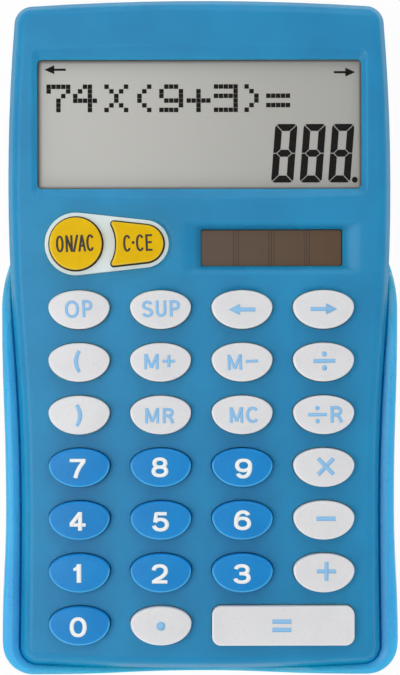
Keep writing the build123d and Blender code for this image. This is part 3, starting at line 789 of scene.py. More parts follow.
@dataclass
class RowTree(ShapeTree):
    """Copies of the source in a row."""

    name: str = "even_row"

    def sockets(self) -> dict[str, str]:
        """Name the number of copies and the step between them."""
        return {"Count": "NodeSocketInt", "Step": "NodeSocketVector", "Material": "NodeSocketMaterial"}

    def shape(self, given: bpy.types.NodeOutputs) -> Socket:
        """Place the source on each point of a line.

        Args:
            given: Outputs of the group input.

        Returns:
            Socket with the row.
        """
        tree = self.tree
        line = add_node(tree, "GeometryNodeMeshLine", inputs={
            "Count": given["Count"], "Offset": given["Step"]})
        row = add_node(tree, "GeometryNodeInstanceOnPoints", inputs={
            "Points": line.outputs[0], "Instance": given["Geometry"]})
        return row.outputs[0]


# Fineness of a glyph's curves: steps of a curve, degrees and least steps of an arc, and the shares of the
# unit box within which a point repeats the last one and a ring ends where it starts.
CURVE_STEPS = 12
ARC_DEGREES, ARC_LEAST_STEPS = 7, 6
SAME_POINT, SAME_END = 1e-4, 1e-3


@dataclass(frozen=True)
class Stroke:
    """One pen stroke of a glyph in a unit box, with how much wider or narrower it runs.

    The path holds M x y, L x y, Q cx cy x y and A cx cy rx ry start end. The swell is the share of the
    pen's width at the start, middle and end, and the cap how far each open end runs on, in pen widths.
    """

    path: tuple[tuple[Any, ...], ...]
    closed: bool = False
    swell: tuple[float, float, float] = (1.0, 1.0, 1.0)
    cap: float = 0.0
    power: float = 2.2

    def trace(self) -> list[Point]:
        """Follow the path.

        Returns:
            The points along the stroke.
        """
        points: list[Point] = []
        for kind, *v in self.path:
            if kind == Run.CURVE:
                x, y = points[-1]
                shares = [i / CURVE_STEPS for i in range(1, CURVE_STEPS + 1)]
                run = [((1 - t) ** 2 * x + 2 * t * (1 - t) * v[0] + t * t * v[2],
                        (1 - t) ** 2 * y + 2 * t * (1 - t) * v[1] + t * t * v[3]) for t in shares]
            elif kind == Run.ARC:
                steps = max(ARC_LEAST_STEPS, int(abs(v[5] - v[4]) / ARC_DEGREES))
                turns = [math.radians(v[4] + (v[5] - v[4]) * i / steps) for i in range(steps + 1)]
                run = [(v[0] + v[2] * self.squared(math.cos(t)), v[1] + v[3] * self.squared(math.sin(t)))
                       for t in turns]
            else:
                run = [(v[0], v[1])]
            points += [p for p in run if not points or math.dist(p, points[-1]) > SAME_POINT]
        if self.closed and math.dist(points[0], points[-1]) < SAME_END:
            points.pop()
        return points

    def swell_at(self, share: float) -> float:
        """Return how much wider the stroke runs at a share of its length from 0 to 1."""
        start, middle, end = self.swell
        if share < 0.5:
            return start + (middle - start) * 2 * share
        return middle + (end - middle) * (2 * share - 1)

    def squared(self, share: float) -> float:
        """Push a cosine or sine outwards, so that round letters are slightly square."""
        return math.copysign(abs(share) ** (2 / self.power), share)


def limb(*points: float, swell: tuple[float, float, float] = (1.0, 1.0, 1.0)) -> Stroke:
    """Return a straight stroke between two points given as four numbers."""
    return Stroke(((Run.MOVE, *points[:2]), (Run.LINE, *points[2:])), swell=swell)


def bar(*points: float) -> Stroke:
    """Return a straight stroke whose square ends run on by half the pen."""
    return Stroke(((Run.MOVE, *points[:2]), (Run.LINE, *points[2:])), cap=0.5)


def ring(x: float, y: float, rx: float, ry: float) -> Stroke:
    """Return a closed round stroke."""
    return Stroke(((Run.ARC, x, y, rx, ry, 0, 360),), closed=True)


# Strokes that cross lie this much above each other, in millimetres, so that no two tops share a plane.
CROSSING_STEP = 0.004
# Glyph of a round dot, and the least share of its height that its ends keep.
DOT, DOT_END = ".", 0.02
STEM, FAR_STEM = bar(0, 0, 0, 1), bar(1, 0, 1, 1)
SIX = (ring(0.5, 0.31, 0.5, 0.31),
       Stroke((("A", 0.52, 0.74, 0.42, 0.26, 12, 90), ("A", 0.52, 0.4, 0.52, 0.6, 90, 188))))
GLYPHS: dict[str, tuple[Stroke, ...]] = {
    "0": (ring(0.5, 0.5, 0.5, 0.5),),
    "1": (limb(0.94, -0.08, 0.94, 1.08, swell=(1.1, 1.1, 1.1)),
          Stroke((("M", -0.1, 0.74), ("Q", 0.72, 0.76, 0.88, 1.04)), swell=(0.9, 0.9, 0.8))),
    "2": (Stroke((("A", 0.5, 0.69, 0.47, 0.31, 176, -8), ("Q", 0.92, 0.42, 0.5, 0.24),
                  ("Q", 0.14, 0.1, 0.06, 0.0))), limb(-0.1, 0, 1.08, 0)),
    "3": (Stroke((("A", 0.48, 0.755, 0.45, 0.245, 170, -90),)),
          Stroke((("A", 0.49, 0.265, 0.51, 0.265, 90, -172),)), limb(0.3, 0.52, 0.56, 0.52)),
    "4": (limb(0.7, -0.1, 0.7, 1.08), limb(-0.08, 0.26, 1.12, 0.26), limb(0.0, 0.28, 0.68, 1.0)),
    "5": (limb(0.12, 1, 0.98, 1), limb(0.19, 1.05, 0.08, 0.46, swell=(0.9, 0.9, 0.9)),
          Stroke((("M", 0.08, 0.48), ("Q", 0.24, 0.645, 0.5, 0.645), ("A", 0.5, 0.32, 0.5, 0.325, 90, -170)))),
    "6": SIX,
    "7": (limb(-0.1, 1, 1.1, 1), Stroke((("M", 1.0, 0.96), ("Q", 0.48, 0.5, 0.33, -0.1)))),
    "8": (ring(0.5, 0.755, 0.43, 0.245), ring(0.5, 0.26, 0.5, 0.26)),
    "9": tuple(Stroke(tuple(("A", 1 - c[1], 1 - c[2], c[3], c[4], c[5] + 180, c[6] + 180) for c in s.path),
                      closed=s.closed) for s in SIX),
    "O": (ring(0.5, 0.5, 0.5, 0.5),),
    "P": (STEM, Stroke((("M", 0, 1), ("L", 0.5, 1), ("A", 0.5, 0.73, 0.5, 0.27, 90, -90), ("L", 0, 0.46)),
                       cap=0.4)),
    "S": (Stroke((("A", 0.5, 0.755, 0.46, 0.245, 14, 200), ("Q", 0.12, 0.575, 0.5, 0.51),
                  ("Q", 1.0, 0.42, 1.0, 0.25), ("A", 0.5, 0.255, 0.5, 0.255, 0, -168))),),
    "U": (Stroke((("M", 0, 1), ("L", 0, 0.33), ("A", 0.5, 0.33, 0.5, 0.33, 180, 360), ("L", 1, 1)), cap=0.5),),
    "M": (STEM, FAR_STEM, limb(0.02, 1.06, 0.5, 0.0), limb(0.98, 1.06, 0.5, 0.0)),
    "N": (STEM, FAR_STEM, limb(0.0, 1.05, 1.0, -0.05)),
    "A": (bar(0, 0, 0.47, 0.98), bar(1, 0, 0.53, 0.98), limb(0.17, 0.32, 0.83, 0.32)),
    "C": (Stroke((("A", 0.52, 0.5, 0.52, 0.5, 38, 322),)),),
    "E": (STEM, bar(0, 1, 0.95, 1), bar(0, 0.52, 0.85, 0.52), bar(0, 0, 0.95, 0)),
    "R": (STEM, Stroke((("M", 0, 1), ("L", 0.5, 1), ("A", 0.5, 0.74, 0.48, 0.26, 90, -90), ("L", 0, 0.48)),
                       cap=0.4),
          Stroke((("M", 0.46, 0.48), ("Q", 0.72, 0.46, 1.0, 0.0)), cap=0.5)),
    "X": (bar(0, 0, 1, 1), bar(0, 1, 1, 0)),
    "/": (bar(0, 0, 1, 1),),
    "+": (limb(-0.12, 0.5, 1.12, 0.5), limb(0.5, -0.12, 0.5, 1.12)),
    "-": (limb(-0.1, 0.5, 1.1, 0.5),),
    DOT: (Stroke((("A", 0.5, 0.5, 0.5, 0.0, 180, 0),), power=2.0),),
    "(": (Stroke((("M", 1, 1.1), ("Q", -0.9, 0.5, 1, -0.1)), swell=(0.85, 1.1, 0.85)),),
    ")": (Stroke((("M", 0, 1.1), ("Q", 1.9, 0.5, 0, -0.1)), swell=(0.85, 1.1, 0.85)),),
    "<": (limb(0.4, 0.5, 1.1, 0.5), limb(-0.12, 0.5, 0.44, 0.5, swell=(0.05, 2.05, 4.0))),
    ">": (limb(-0.1, 0.5, 0.6, 0.5), limb(1.12, 0.5, 0.56, 0.5, swell=(0.05, 2.05, 4.0))),
    "left": (limb(0.36, 0.5, 1.1, 0.5), limb(-0.12, 0.5, 0.4, 0.5, swell=(0.05, 1.45, 2.8))),
    "right": (limb(-0.1, 0.5, 0.64, 0.5), limb(1.12, 0.5, 0.6, 0.5, swell=(0.05, 1.45, 2.8))),
}


@dataclass(frozen=True)
class Pen:
    """Widths of upright and level strokes in millimetres, and the ink."""

    upright: float
    level: float
    ink: Finish

    def width(self, run: Point) -> float:
        """Return the width of a stroke that runs in a direction."""
        length = math.hypot(*run) or 1.0
        return self.level + (self.upright - self.level) * abs(run[1]) / length


@dataclass(frozen=True)
class Mark:
    """One glyph of a legend: its middle from the middle of the legend, and its outer size, in millimetres."""

    glyph: str
    x: float
    y: float
    width: float
    height: float


@dataclass(frozen=True)
class Legend:
    """Marks on one carrier, with the shift of their middle and their tilt as printed."""

    carrier: str
    pen: Pen
    marks: tuple[Mark, ...]
    shift: Point = (0.0, 0.0)
    tilt: float = 0.0

    def run_on(self, inner: Point, end: Point, cap: float) -> Point:
        """Move the end of a stroke outwards.

        Args:
            inner: Neighbour of the end.
            end: End of the stroke.
            cap: How far it moves, in pen widths.

        Returns:
            The new end.
        """
        run = (end[0] - inner[0], end[1] - inner[1])
        share = cap * self.pen.width(run) / math.hypot(*run)
        return end[0] + run[0] * share, end[1] + run[1] * share

    def placed(self, mark: Mark, stroke: Stroke) -> list[Point]:
        """Scale a stroke to its mark and run its open ends on.

        Args:
            mark: Mark that the stroke is part of.
            stroke: The stroke.

        Returns:
            Points in millimetres from the middle of the legend.
        """
        wide = mark.width - (0.0 if mark.glyph == DOT else self.pen.upright)
        high = mark.height - self.pen.level
        local = [(mark.x + (u - 0.5) * wide, mark.y + (v - 0.5) * high) for u, v in stroke.trace()]
        if stroke.cap and not stroke.closed:
            local[0] = self.run_on(local[1], local[0], stroke.cap)
            local[-1] = self.run_on(local[-2], local[-1], stroke.cap)
        return local

    def widths(self, mark: Mark, stroke: Stroke, local: list[Point]) -> list[float]:
        """Work out the width of the pen along a stroke, which for a dot is the chord of its circle.

        Args:
            mark: Mark that the stroke is part of.
            stroke: The stroke.
            local: Its placed points.

        Returns:
            Width at each point in millimetres.
        """
        if mark.glyph == DOT:
            return [mark.height * math.sqrt(max(1 - (2 * (x - mark.x) / mark.width) ** 2, DOT_END ** 2))
                    for x, _ in local]
        count = len(local)
        made = []
        for i in range(count):
            ahead = local[(i + 1) % count] if stroke.closed else local[min(i + 1, count - 1)]
            behind = local[i - 1] if stroke.closed else local[max(i - 1, 0)]
            run = (ahead[0] - behind[0], ahead[1] - behind[1])
            made.append(self.pen.width(run) * stroke.swell_at(i / max(count - 1, 1)))
        return made

    def lines(self, centre: Point) -> bpy.types.Mesh:
        """Lay out the pen lines of the legend.

        Args:
            centre: Middle of the carrier in millimetres.

        Returns:
            Mesh of lines with the pen width on each point, each stroke a little above the one before.
        """
        points: list[Vector] = []
        edges: list[tuple[int, int]] = []
        pens: list[float] = []
        x0, y0 = centre[0] + self.shift[0], centre[1] + self.shift[1]
        cos, sin = math.cos(math.radians(self.tilt)), math.sin(math.radians(self.tilt))
        strokes = [(mark, stroke) for mark in self.marks for stroke in GLYPHS[mark.glyph]]
        for layer, (mark, stroke) in enumerate(strokes, 1):
            local = self.placed(mark, stroke)
            first, last = len(points), len(points) + len(local) - 1
            points += [Vector((x0 + x * cos - y * sin, y0 + x * sin + y * cos, layer * CROSSING_STEP)) * MM
                       for x, y in local]
            pens += [width * MM for width in self.widths(mark, stroke, local)]
            edges += [(i, i + 1) for i in range(first, last)]
            if stroke.closed:
                edges.append((last, first))
        mesh = bpy.data.meshes.new("lines")
        mesh.from_pydata(points, edges, [])
        mesh.attributes.new("pen", "FLOAT", "POINT").data.foreach_set("value", pens)
        return mesh


def middle_mm(node: str) -> Point:
    """Return the middle of a CAD node in plan, in millimetres."""
    low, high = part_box(node)
    return (low.x + high.x) / 2 / MM, (low.y + high.y) / 2 / MM


def slab(work: bmesh.types.BMesh, outline: Sequence[Point], low: float, high: float) -> None:
    """Add a closed flat slab to a bmesh.

    Args:
        work: Mesh that gets the slab.
        outline: Corners in millimetres, anticlockwise.
        low: Height of its underside in millimetres.
        high: Height of its top in millimetres.
    """
    under = [work.verts.new((x * MM, y * MM, low * MM)) for x, y in outline]
    over = [work.verts.new((x * MM, y * MM, high * MM)) for x, y in outline]
    work.faces.new(list(reversed(under)))
    work.faces.new(over)
    count = len(outline)
    for i in range(count):
        work.faces.new((under[i], under[(i + 1) % count], over[(i + 1) % count], over[i]))


def ring_slab(work: bmesh.types.BMesh, outer: Sequence[Point], inner: Sequence[Point], low: float,
              high: float) -> None:
    """Add to a bmesh a closed flat ring between two outlines that have equally many corners.

    Args:
        work: Mesh that gets the ring.
        outer: Corners outside in millimetres, anticlockwise.
        inner: Corners of the opening, in the same order.
        low: Height of its underside.
        high: Height of its top.
    """
    rings = [[work.verts.new((x * MM, y * MM, level * MM)) for x, y in run]
             for run, level in ((outer, low), (outer, high), (inner, high), (inner, low))]
    for lower, upper in zip(rings, rings[1:] + rings[:1]):
        for i in range(len(lower)):
            j = (i + 1) % len(lower)
            work.faces.new((lower[i], lower[j], upper[j], upper[i]))


# Least sum of one and the cosine between two edges at which a moved corner is still a full mitre.
SHARPEST = 0.2
# Steps of a quarter turn in the corners of a frame, and corners of a round slab.
CORNER_STEPS, ROUND_CORNERS = 4, 24


def inset(outline: Sequence[Point], gap: float) -> list[Point]:
    """Move the edges of an outline inwards, with sharp corners held back.

    Args:
        outline: Corners, anticlockwise.
        gap: How far each edge moves, outwards where it is negative.

    Returns:
        The new outline, with as many corners.
    """
    count = len(outline)
    made = []
    for i in range(count):
        before, here, after = (Vector(outline[(i + k) % count]) for k in (-1, 0, 1))
        a, b = (here - before).normalized(), (after - here).normalized()
        na, nb = Vector((-a.y, a.x)), Vector((-b.y, b.x))
        share = gap / max(1 + na.dot(nb), SHARPEST)
        made.append(tuple(here + (na + nb) * share))
    return made


def frame_slab(work: bmesh.types.BMesh, centre: Point, outer: Point, inner: Point, corner: float,
               low: float, high: float, shift: Point = (0.0, 0.0)) -> None:
    """Add a closed flat frame with rounded corners to a bmesh.

    Args:
        work: Mesh that gets the frame.
        centre: Middle of the frame in millimetres.
        outer: Width and height outside.
        inner: Width and height of the opening.
        corner: Radius of the corners of the opening.
        low: Height of its underside.
        high: Height of its top.
        shift: How far the opening stands off the middle.
    """
    runs = []
    for (wide, tall), (dx, dy) in ((outer, (0.0, 0.0)), (inner, shift)):
        run = []
        for quarter, (sx, sy) in enumerate(((1, 1), (-1, 1), (-1, -1), (1, -1))):
            for step in range(CORNER_STEPS + 1):
                turn = math.radians(90 * (quarter + step / CORNER_STEPS))
                run.append((centre[0] + dx + sx * (wide / 2 - corner) + corner * math.cos(turn),
                            centre[1] + dy + sy * (tall / 2 - corner) + corner * math.sin(turn)))
        runs.append(run)
    ring_slab(work, runs[0], runs[1], low, high)


def closed_mesh(work: bmesh.types.BMesh, name: str) -> bpy.types.Mesh:
    """Turn a bmesh of closed slabs into a mesh whose faces point outwards.

    Args:
        work: The bmesh, which is freed.
        name: Name of the mesh.

    Returns:
        The mesh.
    """
    bmesh.ops.recalc_face_normals(work, faces=work.faces)
    mesh = bpy.data.meshes.new(name)
    work.to_mesh(mesh)
    work.free()
    return mesh


@dataclass
class CaseShell:
    """Two halves of the case with the inlay, the battery door and the screws."""

    shells: tuple[str, ...] = ("front_case", "back_case", "battery_door")
    screws: tuple[str, ...] = ("battery_door_screw", "case_screws", "board_screws")

    def dress(self) -> None:
        """Give the shells, the inlay and the screws their finishes."""
        CASE_ABS.dress(*self.shells)
        INLAY_ABS.dress("clear_key_inlay")
        SCREW_STEEL.dress(*self.screws)


@dataclass
class SlideCover:
    """Hard cover that the calculator lies on."""

    shell: str = "slide_cover"

    def dress(self) -> None:
        """Give the cover its finish."""
        COVER_ABS.dress(self.shell)


@dataclass
class Keypad:
    """Key caps with their printed legends, and thin dark rings of painted shadow in the gaps round the yellow
    keys. Sizes are in millimetres.

    The places of the legends were measured on a plane 1.4 mm below the tops of the caps, so the parallax,
    a small share of each cap's place, is taken off again.
    """

    crown_radius: float = 160.0
    parallax: float = 0.0028
    ink_thickness: float = 0.06
    spacing: float = 0.1
    digit_pen: Pen = Pen(0.81, 0.66, WHITE_INK)
    letter_pen: Pen = Pen(0.58, 0.54, SKY_INK)
    sign_pen: Pen = Pen(0.78, 0.78, SKY_INK)
    slim_pen: Pen = Pen(0.42, 0.38, SLATE_INK)
    flat_keys: tuple[str, ...] = ("key_equals", "key_on", "key_clear")
    yellow_keys: tuple[str, ...] = ("key_on", "key_clear")
    shade_ring_cut: float = 0.8
    shade_ring_clearance: float = 0.05
    shade_ring_width: float = 0.26
    shade_ring_depth: float = 0.02
    shade_ring_grain: float = 0.03
    weld: float = 0.001

    def legends(self) -> list[Legend]:
        """List the legends of all keys, placed and sized as printed.

        Returns:
            One legend for each key.
        """
        digit, letter, sign, slim = self.digit_pen, self.letter_pen, self.sign_pen, self.slim_pen

        def number(glyph: str, x: float, y: float, width: float = 3.36, height: float = 3.9) -> Legend:
            """Return the legend of a digit key."""
            return Legend(f"key_{glyph}", digit, (Mark(glyph, 0, 0, width, height),), (x, y))

        return [
            Legend("key_op", letter, (Mark("O", -1.3, 0, 2.78, 3.42), Mark("P", 1.71, 0, 2.0, 3.35)),
                   (-0.1, 0.17), 2.2),
            Legend("key_delete", letter, (Mark("S", -2.62, 0, 2.2, 3.25), Mark("U", 0.06, 0, 2.1, 3.2),
                                          Mark("P", 2.73, 0, 2.0, 3.2)), (0.06, 0.2), 1.2),
            Legend("key_left", sign, (Mark("left", 0, 0, 5.1, 2.05),), (0.09, 0.0)),
            Legend("key_right", sign, (Mark("right", 0, 0, 5.1, 2.05),), (0.12, 0.08)),
            Legend("key_bracket_open", sign, (Mark("(", 0, 0, 1.5, 4.25),), (-0.3, 0.2)),
            Legend("key_memory_plus", letter, (Mark("M", -1.63, 0, 2.85, 3.0), Mark("+", 1.77, 0.08, 2.6, 2.5)),
                   (-0.15, 0.15)),
            Legend("key_memory_minus", letter, (Mark("M", -1.61, 0, 2.85, 3.05),
                                                Mark("-", 1.77, 0.1, 2.6, 1.0)), (0.21, 0.04), 2.0),
            Legend("key_divide", sign, (Mark("-", 0, 0, 4.4, 1.0), Mark(".", 0, 1.36, 1.02, 1.02),
                                        Mark(".", 0, -1.36, 1.02, 1.02)), (0.22, 0.21), 1.0),
            Legend("key_bracket_close", sign, (Mark(")", 0, 0, 1.5, 4.25),), (-0.16, -0.07)),
            Legend("key_memory_recall", letter, (Mark("M", -1.44, 0, 2.75, 3.0), Mark("R", 1.73, 0, 2.2, 3.0)),
                   (-0.23, -0.14)),
            Legend("key_memory_clear", letter, (Mark("M", -1.53, 0, 2.65, 3.05), Mark("C", 1.61, 0, 2.5, 3.15)),
                   (0.43, -0.03), 0.8),
            Legend("key_remainder", Pen(0.62, 0.66, SKY_INK),
                   (Mark("-", -1.53, 0, 3.75, 1.0), Mark(".", -1.53, 1.28, 0.9, 0.9),
                    Mark(".", -1.53, -1.28, 0.9, 0.9), Mark("R", 2.2, 0, 2.35, 3.3)),
                   (0.36, 0.02), 0.6),
            number("7", -0.36, -0.16, 3.4, 3.8), number("8", -0.17, 0.04, 3.3), number("9", 0.29, -0.22),
            number("4", -0.41, -0.17, 3.4, 3.75), number("5", -0.09, -0.3, 3.36, 3.8), number("6", 0.07, -0.04),
            number("1", -0.59, -0.09, 1.85, 3.8), number("2", -0.23, -0.2, 3.36, 3.8),
            number("3", -0.05, -0.25, 3.4, 3.85), number("0", -0.3, -0.32),
            Legend("key_multiply", sign, (Mark("X", 0, 0, 3.3, 3.4),), (0.47, 0.16)),
            Legend("key_minus", Pen(0.86, 0.86, SKY_INK), (Mark("-", 0, 0, 4.0, 1.0),), (0.49, 0.23)),
            Legend("key_plus", sign, (Mark("+", 0, 0, 3.8, 3.8),), (0.55, 0.23)),
            Legend("key_point", sign, (Mark(".", 0, 0, 1.75, 1.75),), (-0.01, -0.15)),
            Legend("key_equals", Pen(0.85, 0.85, SKY_INK),
                   (Mark("-", 0, 0.81, 4.0, 1.0), Mark("-", 0, -0.81, 4.0, 1.0)), (-0.22, -0.1)),
            Legend("key_on", slim, (Mark("O", -2.97, 0, 1.5, 3.28), Mark("N", -1.14, 0, 1.4, 3.25),
                                    Mark("/", 0.13, 0, 1.1, 3.3), Mark("A", 1.38, 0, 1.5, 3.25),
                                    Mark("C", 2.99, 0, 1.5, 3.28)), (-0.15, 0.08), 2.3),
            Legend("key_clear", slim, (Mark("C", -2.08, 0, 1.5, 3.3), Mark(".", -0.88, 0.1, 0.6, 0.6),
                                       Mark("C", 0.46, 0, 1.55, 3.3), Mark("E", 2.25, 0, 1.4, 3.25)),
                   (12.14, 0.14), 2.0),
        ]

    def group(self, key: str) -> KeyGroup:
        """Return the group that a key belongs to."""
        if key in self.yellow_keys:
            return KeyGroup.CLEARING
        return KeyGroup.DIGIT if key.removeprefix("key_").isdigit() else KeyGroup.FUNCTION

    def dress(self) -> None:
        """Give each cap the plastic of its group."""
        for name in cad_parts:
            if name.startswith("key_") and name != "key_mat":
                self.group(name).value.dress(name)

    def outline(self, key: str, height: float) -> list[Point]:
        """Cut a cap level and return the outline of the cut.

        Args:
            key: Node of the cap.
            height: Height of the cut in millimetres.

        Returns:
            Corners in millimetres, anticlockwise.
        """
        work = bmesh.new()
        work.from_mesh(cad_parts[key].data)
        bmesh.ops.remove_doubles(work, verts=work.verts, dist=self.weld * MM)
        cut = bmesh.ops.bisect_plane(work, geom=[*work.verts, *work.edges, *work.faces],
                                     plane_co=(0.0, 0.0, height * MM), plane_no=(0.0, 0.0, 1.0))["geom_cut"]
        left = [part for part in cut if isinstance(part, bmesh.types.BMEdge)]
        here = left[0].verts[0]
        points: list[Point] = []
        while left:
            spot = (here.co.x / MM, here.co.y / MM)
            if not points or math.dist(spot, points[-1]) > self.shade_ring_grain:
                points.append(spot)
            edge = next((e for e in here.link_edges if e in left), None)
            if edge is None:
                break
            left.remove(edge)
            here = edge.other_vert(here)
        work.free()
        if math.dist(points[0], points[-1]) < self.shade_ring_grain:
            points.pop()
        area = sum(a[0] * b[1] - a[1] * b[0] for a, b in zip(points, points[1:] + points[:1]))
        return points if area > 0 else points[::-1]

    def lay_shade_rings(self) -> None:
        """Lay a dark ring of painted shadow in the gap round each yellow key."""
        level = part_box("clear_key_inlay")[1].z / MM
        for key in self.yellow_keys:
            edge = self.outline(key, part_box(key)[1].z / MM - self.shade_ring_cut)
            # Painted shadow: a thin dark ring laid where the gap round the key shows.
            work = bmesh.new()
            ring_slab(work, inset(edge, -self.shade_ring_clearance - self.shade_ring_width), inset(edge, -self.shade_ring_clearance),
                      level - self.shade_ring_depth, level + self.shade_ring_depth)
            store_piece(f"shadow_ring_{key.removeprefix('key_')}", closed_mesh(work, "lip"), GAP_SHADE_RING)

    def print_legends(self) -> None:
        """Lay each legend on its cap and let it ride on it."""
        ribbon = RibbonTree()
        for legend in self.legends():
            # The legend of the clear key was measured from the middle of the round key beside it.
            centre = middle_mm("key_on" if legend.carrier == "key_clear" else legend.carrier)
            crown = 0.0 if legend.carrier in self.flat_keys else self.crown_radius
            nearer = (centre[0] * (1 - self.parallax), centre[1] * (1 - self.parallax))
            mesh = ribbon.run(legend.lines(nearer), {
                "Spacing": self.spacing * MM, "Thickness": self.ink_thickness * MM,
                "Centre": (centre[0] * MM, centre[1] * MM, 0.0), "Crown Radius": crown * MM,
                "Surface Height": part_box(legend.carrier)[1].z, "Material": legend.pen.ink.material()})
            store_piece(f"legend_{legend.carrier}", mesh, legend.pen.ink, legend.carrier)


@dataclass
class Display:
    """Liquid-crystal display behind its window. Sizes are in millimetres from the middle of the glass."""

    dot_side: float = 0.885
    dot_corner: float = 0.04
    dot_step: Point = (0.967, 0.923)
    top_row: float = 7.6
    film: float = 0.03
    digit_count: int = 3
    digit_width: float = 4.55
    digit_height: float = 11.75
    digit_stroke: float = 1.54
    digit_corner: float = 0.9
    digit_gap: float = 0.15
    digit_slant: float = 4.4
    digit_step: float = 5.64
    digit_spot: Point = (14.1, -11.52)
    point_spot: Point = (30.78, -10.91)
    point_size: float = 1.18
    arrow_pen: Pen = Pen(0.44, 0.44, CRYSTAL_INK)
    arrow_size: Point = (3.9, 1.48)
    arrow_spacing: float = 0.15
    arrows: tuple[tuple[str, str, Point], ...] = (("left", "<", (-28.5, 10.98)), ("right", ">", (28.73, 10.4)))
    view_width: float = 64.0
    view_height: float = 25.5
    shadow_width: float = 0.66
    shadow_tuck: float = 0.5
    shadow_corner: float = 0.5
    shadow_gap: float = 0.01
    letters: dict[str, tuple[str, ...]] = field(default_factory=lambda: {
        "7": ("11111", "10001", "00010", "00100", "00100", "00100"),
        "4": ("00110", "01010", "10010", "11111", "00010", "00010"),
        "X": ("10001", "01010", "00100", "00100", "01010", "10001"),
        "(": ("001", "010", "100", "100", "010", "001"),
        "9": ("01110", "10001", "10001", "01111", "00001", "11110"),
        "+": ("00000", "00100", "00100", "11111", "00100", "00100"),
        "3": ("11111", "00001", "11111", "00001", "00001", "11111"),
        ")": ("100", "010", "001", "001", "010", "100"),
        "=": ("00000", "00000", "11111", "00000", "11111", "00000"),
    })
    starts: tuple[tuple[str, float], ...] = (
        ("7", -30.27), ("4", -25.0), ("X", -18.8), ("(", -12.28), ("9", -7.93), ("+", -2.52), ("3", 2.89),
        (")", 8.95), ("=", 13.25))

    def dress(self) -> None:
        """Give the window, the glasses and their holder their finishes."""
        WINDOW_ACRYLIC.dress("display_window")
        LCD_GLASS.dress("lcd_front_glass", "lcd_rear_glass")
        FRAME_PS.dress("lcd_frame")
        ZEBRA.dress("contact_strip")

    def glass_top(self) -> float:
        """Return the height of the upper glass in millimetres."""
        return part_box("lcd_front_glass")[1].z / MM

    def lay_painted_shadow(self) -> None:
        """Lay the painted shadow of the window's edge on its underside, fading inwards."""
        x0, y0 = middle_mm("display_window")
        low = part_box("display_window")[0].z / MM
        outside = (self.view_width + 2 * self.shadow_tuck, self.view_height + 2 * self.shadow_tuck)
        opening = (self.view_width - 2 * self.shadow_width, self.view_height - 2 * self.shadow_width)
        top = low - self.shadow_gap
        work = bmesh.new()
        frame_slab(work, (x0, y0), outside, opening, self.shadow_corner, top - self.film, top)
        # Painted shadow of the window's edge: dull, dark at the rim and fading to the grey of the glass.
        border = PaintedEdgeShadow("window_painted_edge_shadow", "#575653", "#BBBAB5", (x0, y0),
                             (opening[0] / 2, opening[1] / 2), self.shadow_width)
        store_piece("window_painted_shadow", closed_mesh(work, "window_painted_shadow"), border)

    def show_expression(self) -> None:
        """Set the upper line of the display in square dots."""
        x0, y0 = middle_mm("lcd_front_glass")
        points = []
        for letter, start in self.starts:
            for r, row in enumerate(self.letters[letter]):
                for c, lit in enumerate(row):
                    if lit == "1":
                        points.append(Vector((
                            x0 + start + self.dot_side / 2 + c * self.dot_step[0],
                            y0 + self.top_row - r * self.dot_step[1], self.glass_top() - self.film / 3)) * MM)
        mesh = bpy.data.meshes.new("spots")
        mesh.from_pydata(points, [], [])
        made = DotTree().run(mesh, {"Side": self.dot_side * MM, "Corner": self.dot_corner * MM,
                                    "Thickness": self.film * MM, "Material": CRYSTAL_INK.material()})
        store_piece("lcd_expression", made, CRYSTAL_INK)

    def segments(self) -> list[list[Point]]:
        """Draw one digit, upright and without gaps.

        Returns:
            Outlines of its seven segments, anticlockwise.
        """
        w, h, t, r = self.digit_width, self.digit_height, self.digit_stroke, self.digit_corner
        m = h / 2

        def corner(x: float, y: float, start: float, end: float) -> list[Point]:
            """Return points on a rounded corner between two angles."""
            turns = [math.radians(start + (end - start) * i / CORNER_STEPS) for i in range(CORNER_STEPS + 1)]
            return [(x + r * math.cos(a), y + r * math.sin(a)) for a in turns]

        top = [(t, h - t), (w - t, h - t)] + corner(w - r, h - r, 45, 90) + corner(r, h - r, 90, 135)
        left = [(t, m + t / 2), (t, h - t)] + corner(r, h - r, 135, 180) + [(0, m), (t / 2, m)]
        middle = [(t / 2, m), (t, m - t / 2), (w - t, m - t / 2), (w - t / 2, m), (w - t, m + t / 2),
                  (t, m + t / 2)]
        flip = [[(x, h - y) for x, y in reversed(part)] for part in (top, left)]
        right = [[(w - x, y) for x, y in reversed(part)] for part in (left, flip[1])]
        return [top, left, middle, *flip, *right]

    def show_result(self) -> None:
        """Set the lower line of the display in slanted seven-segment digits with a point."""
        x0, y0 = middle_mm("lcd_front_glass")
        low = self.glass_top() - self.film / 3
        lean = math.tan(math.radians(self.digit_slant))
        work = bmesh.new()
        for outline in self.segments():
            placed = [(x0 + self.digit_spot[0] + x + y * lean, y0 + self.digit_spot[1] + y)
                      for x, y in inset(outline, self.digit_gap / 2)]
            slab(work, placed, low, low + self.film)
        row = RowTree().run(closed_mesh(work, "digit"), {
            "Count": self.digit_count, "Step": (self.digit_step * MM, 0.0, 0.0),
            "Material": CRYSTAL_INK.material()})
        store_piece("lcd_result", row, CRYSTAL_INK)
        work = bmesh.new()
        turns = [2 * math.pi * i / ROUND_CORNERS for i in range(ROUND_CORNERS)]
        x, y, radius = x0 + self.point_spot[0], y0 + self.point_spot[1], self.point_size / 2
        slab(work, [(x + radius * math.cos(a), y + radius * math.sin(a)) for a in turns], low, low + self.film)
        store_piece("lcd_point", closed_mesh(work, "point"), CRYSTAL_INK)

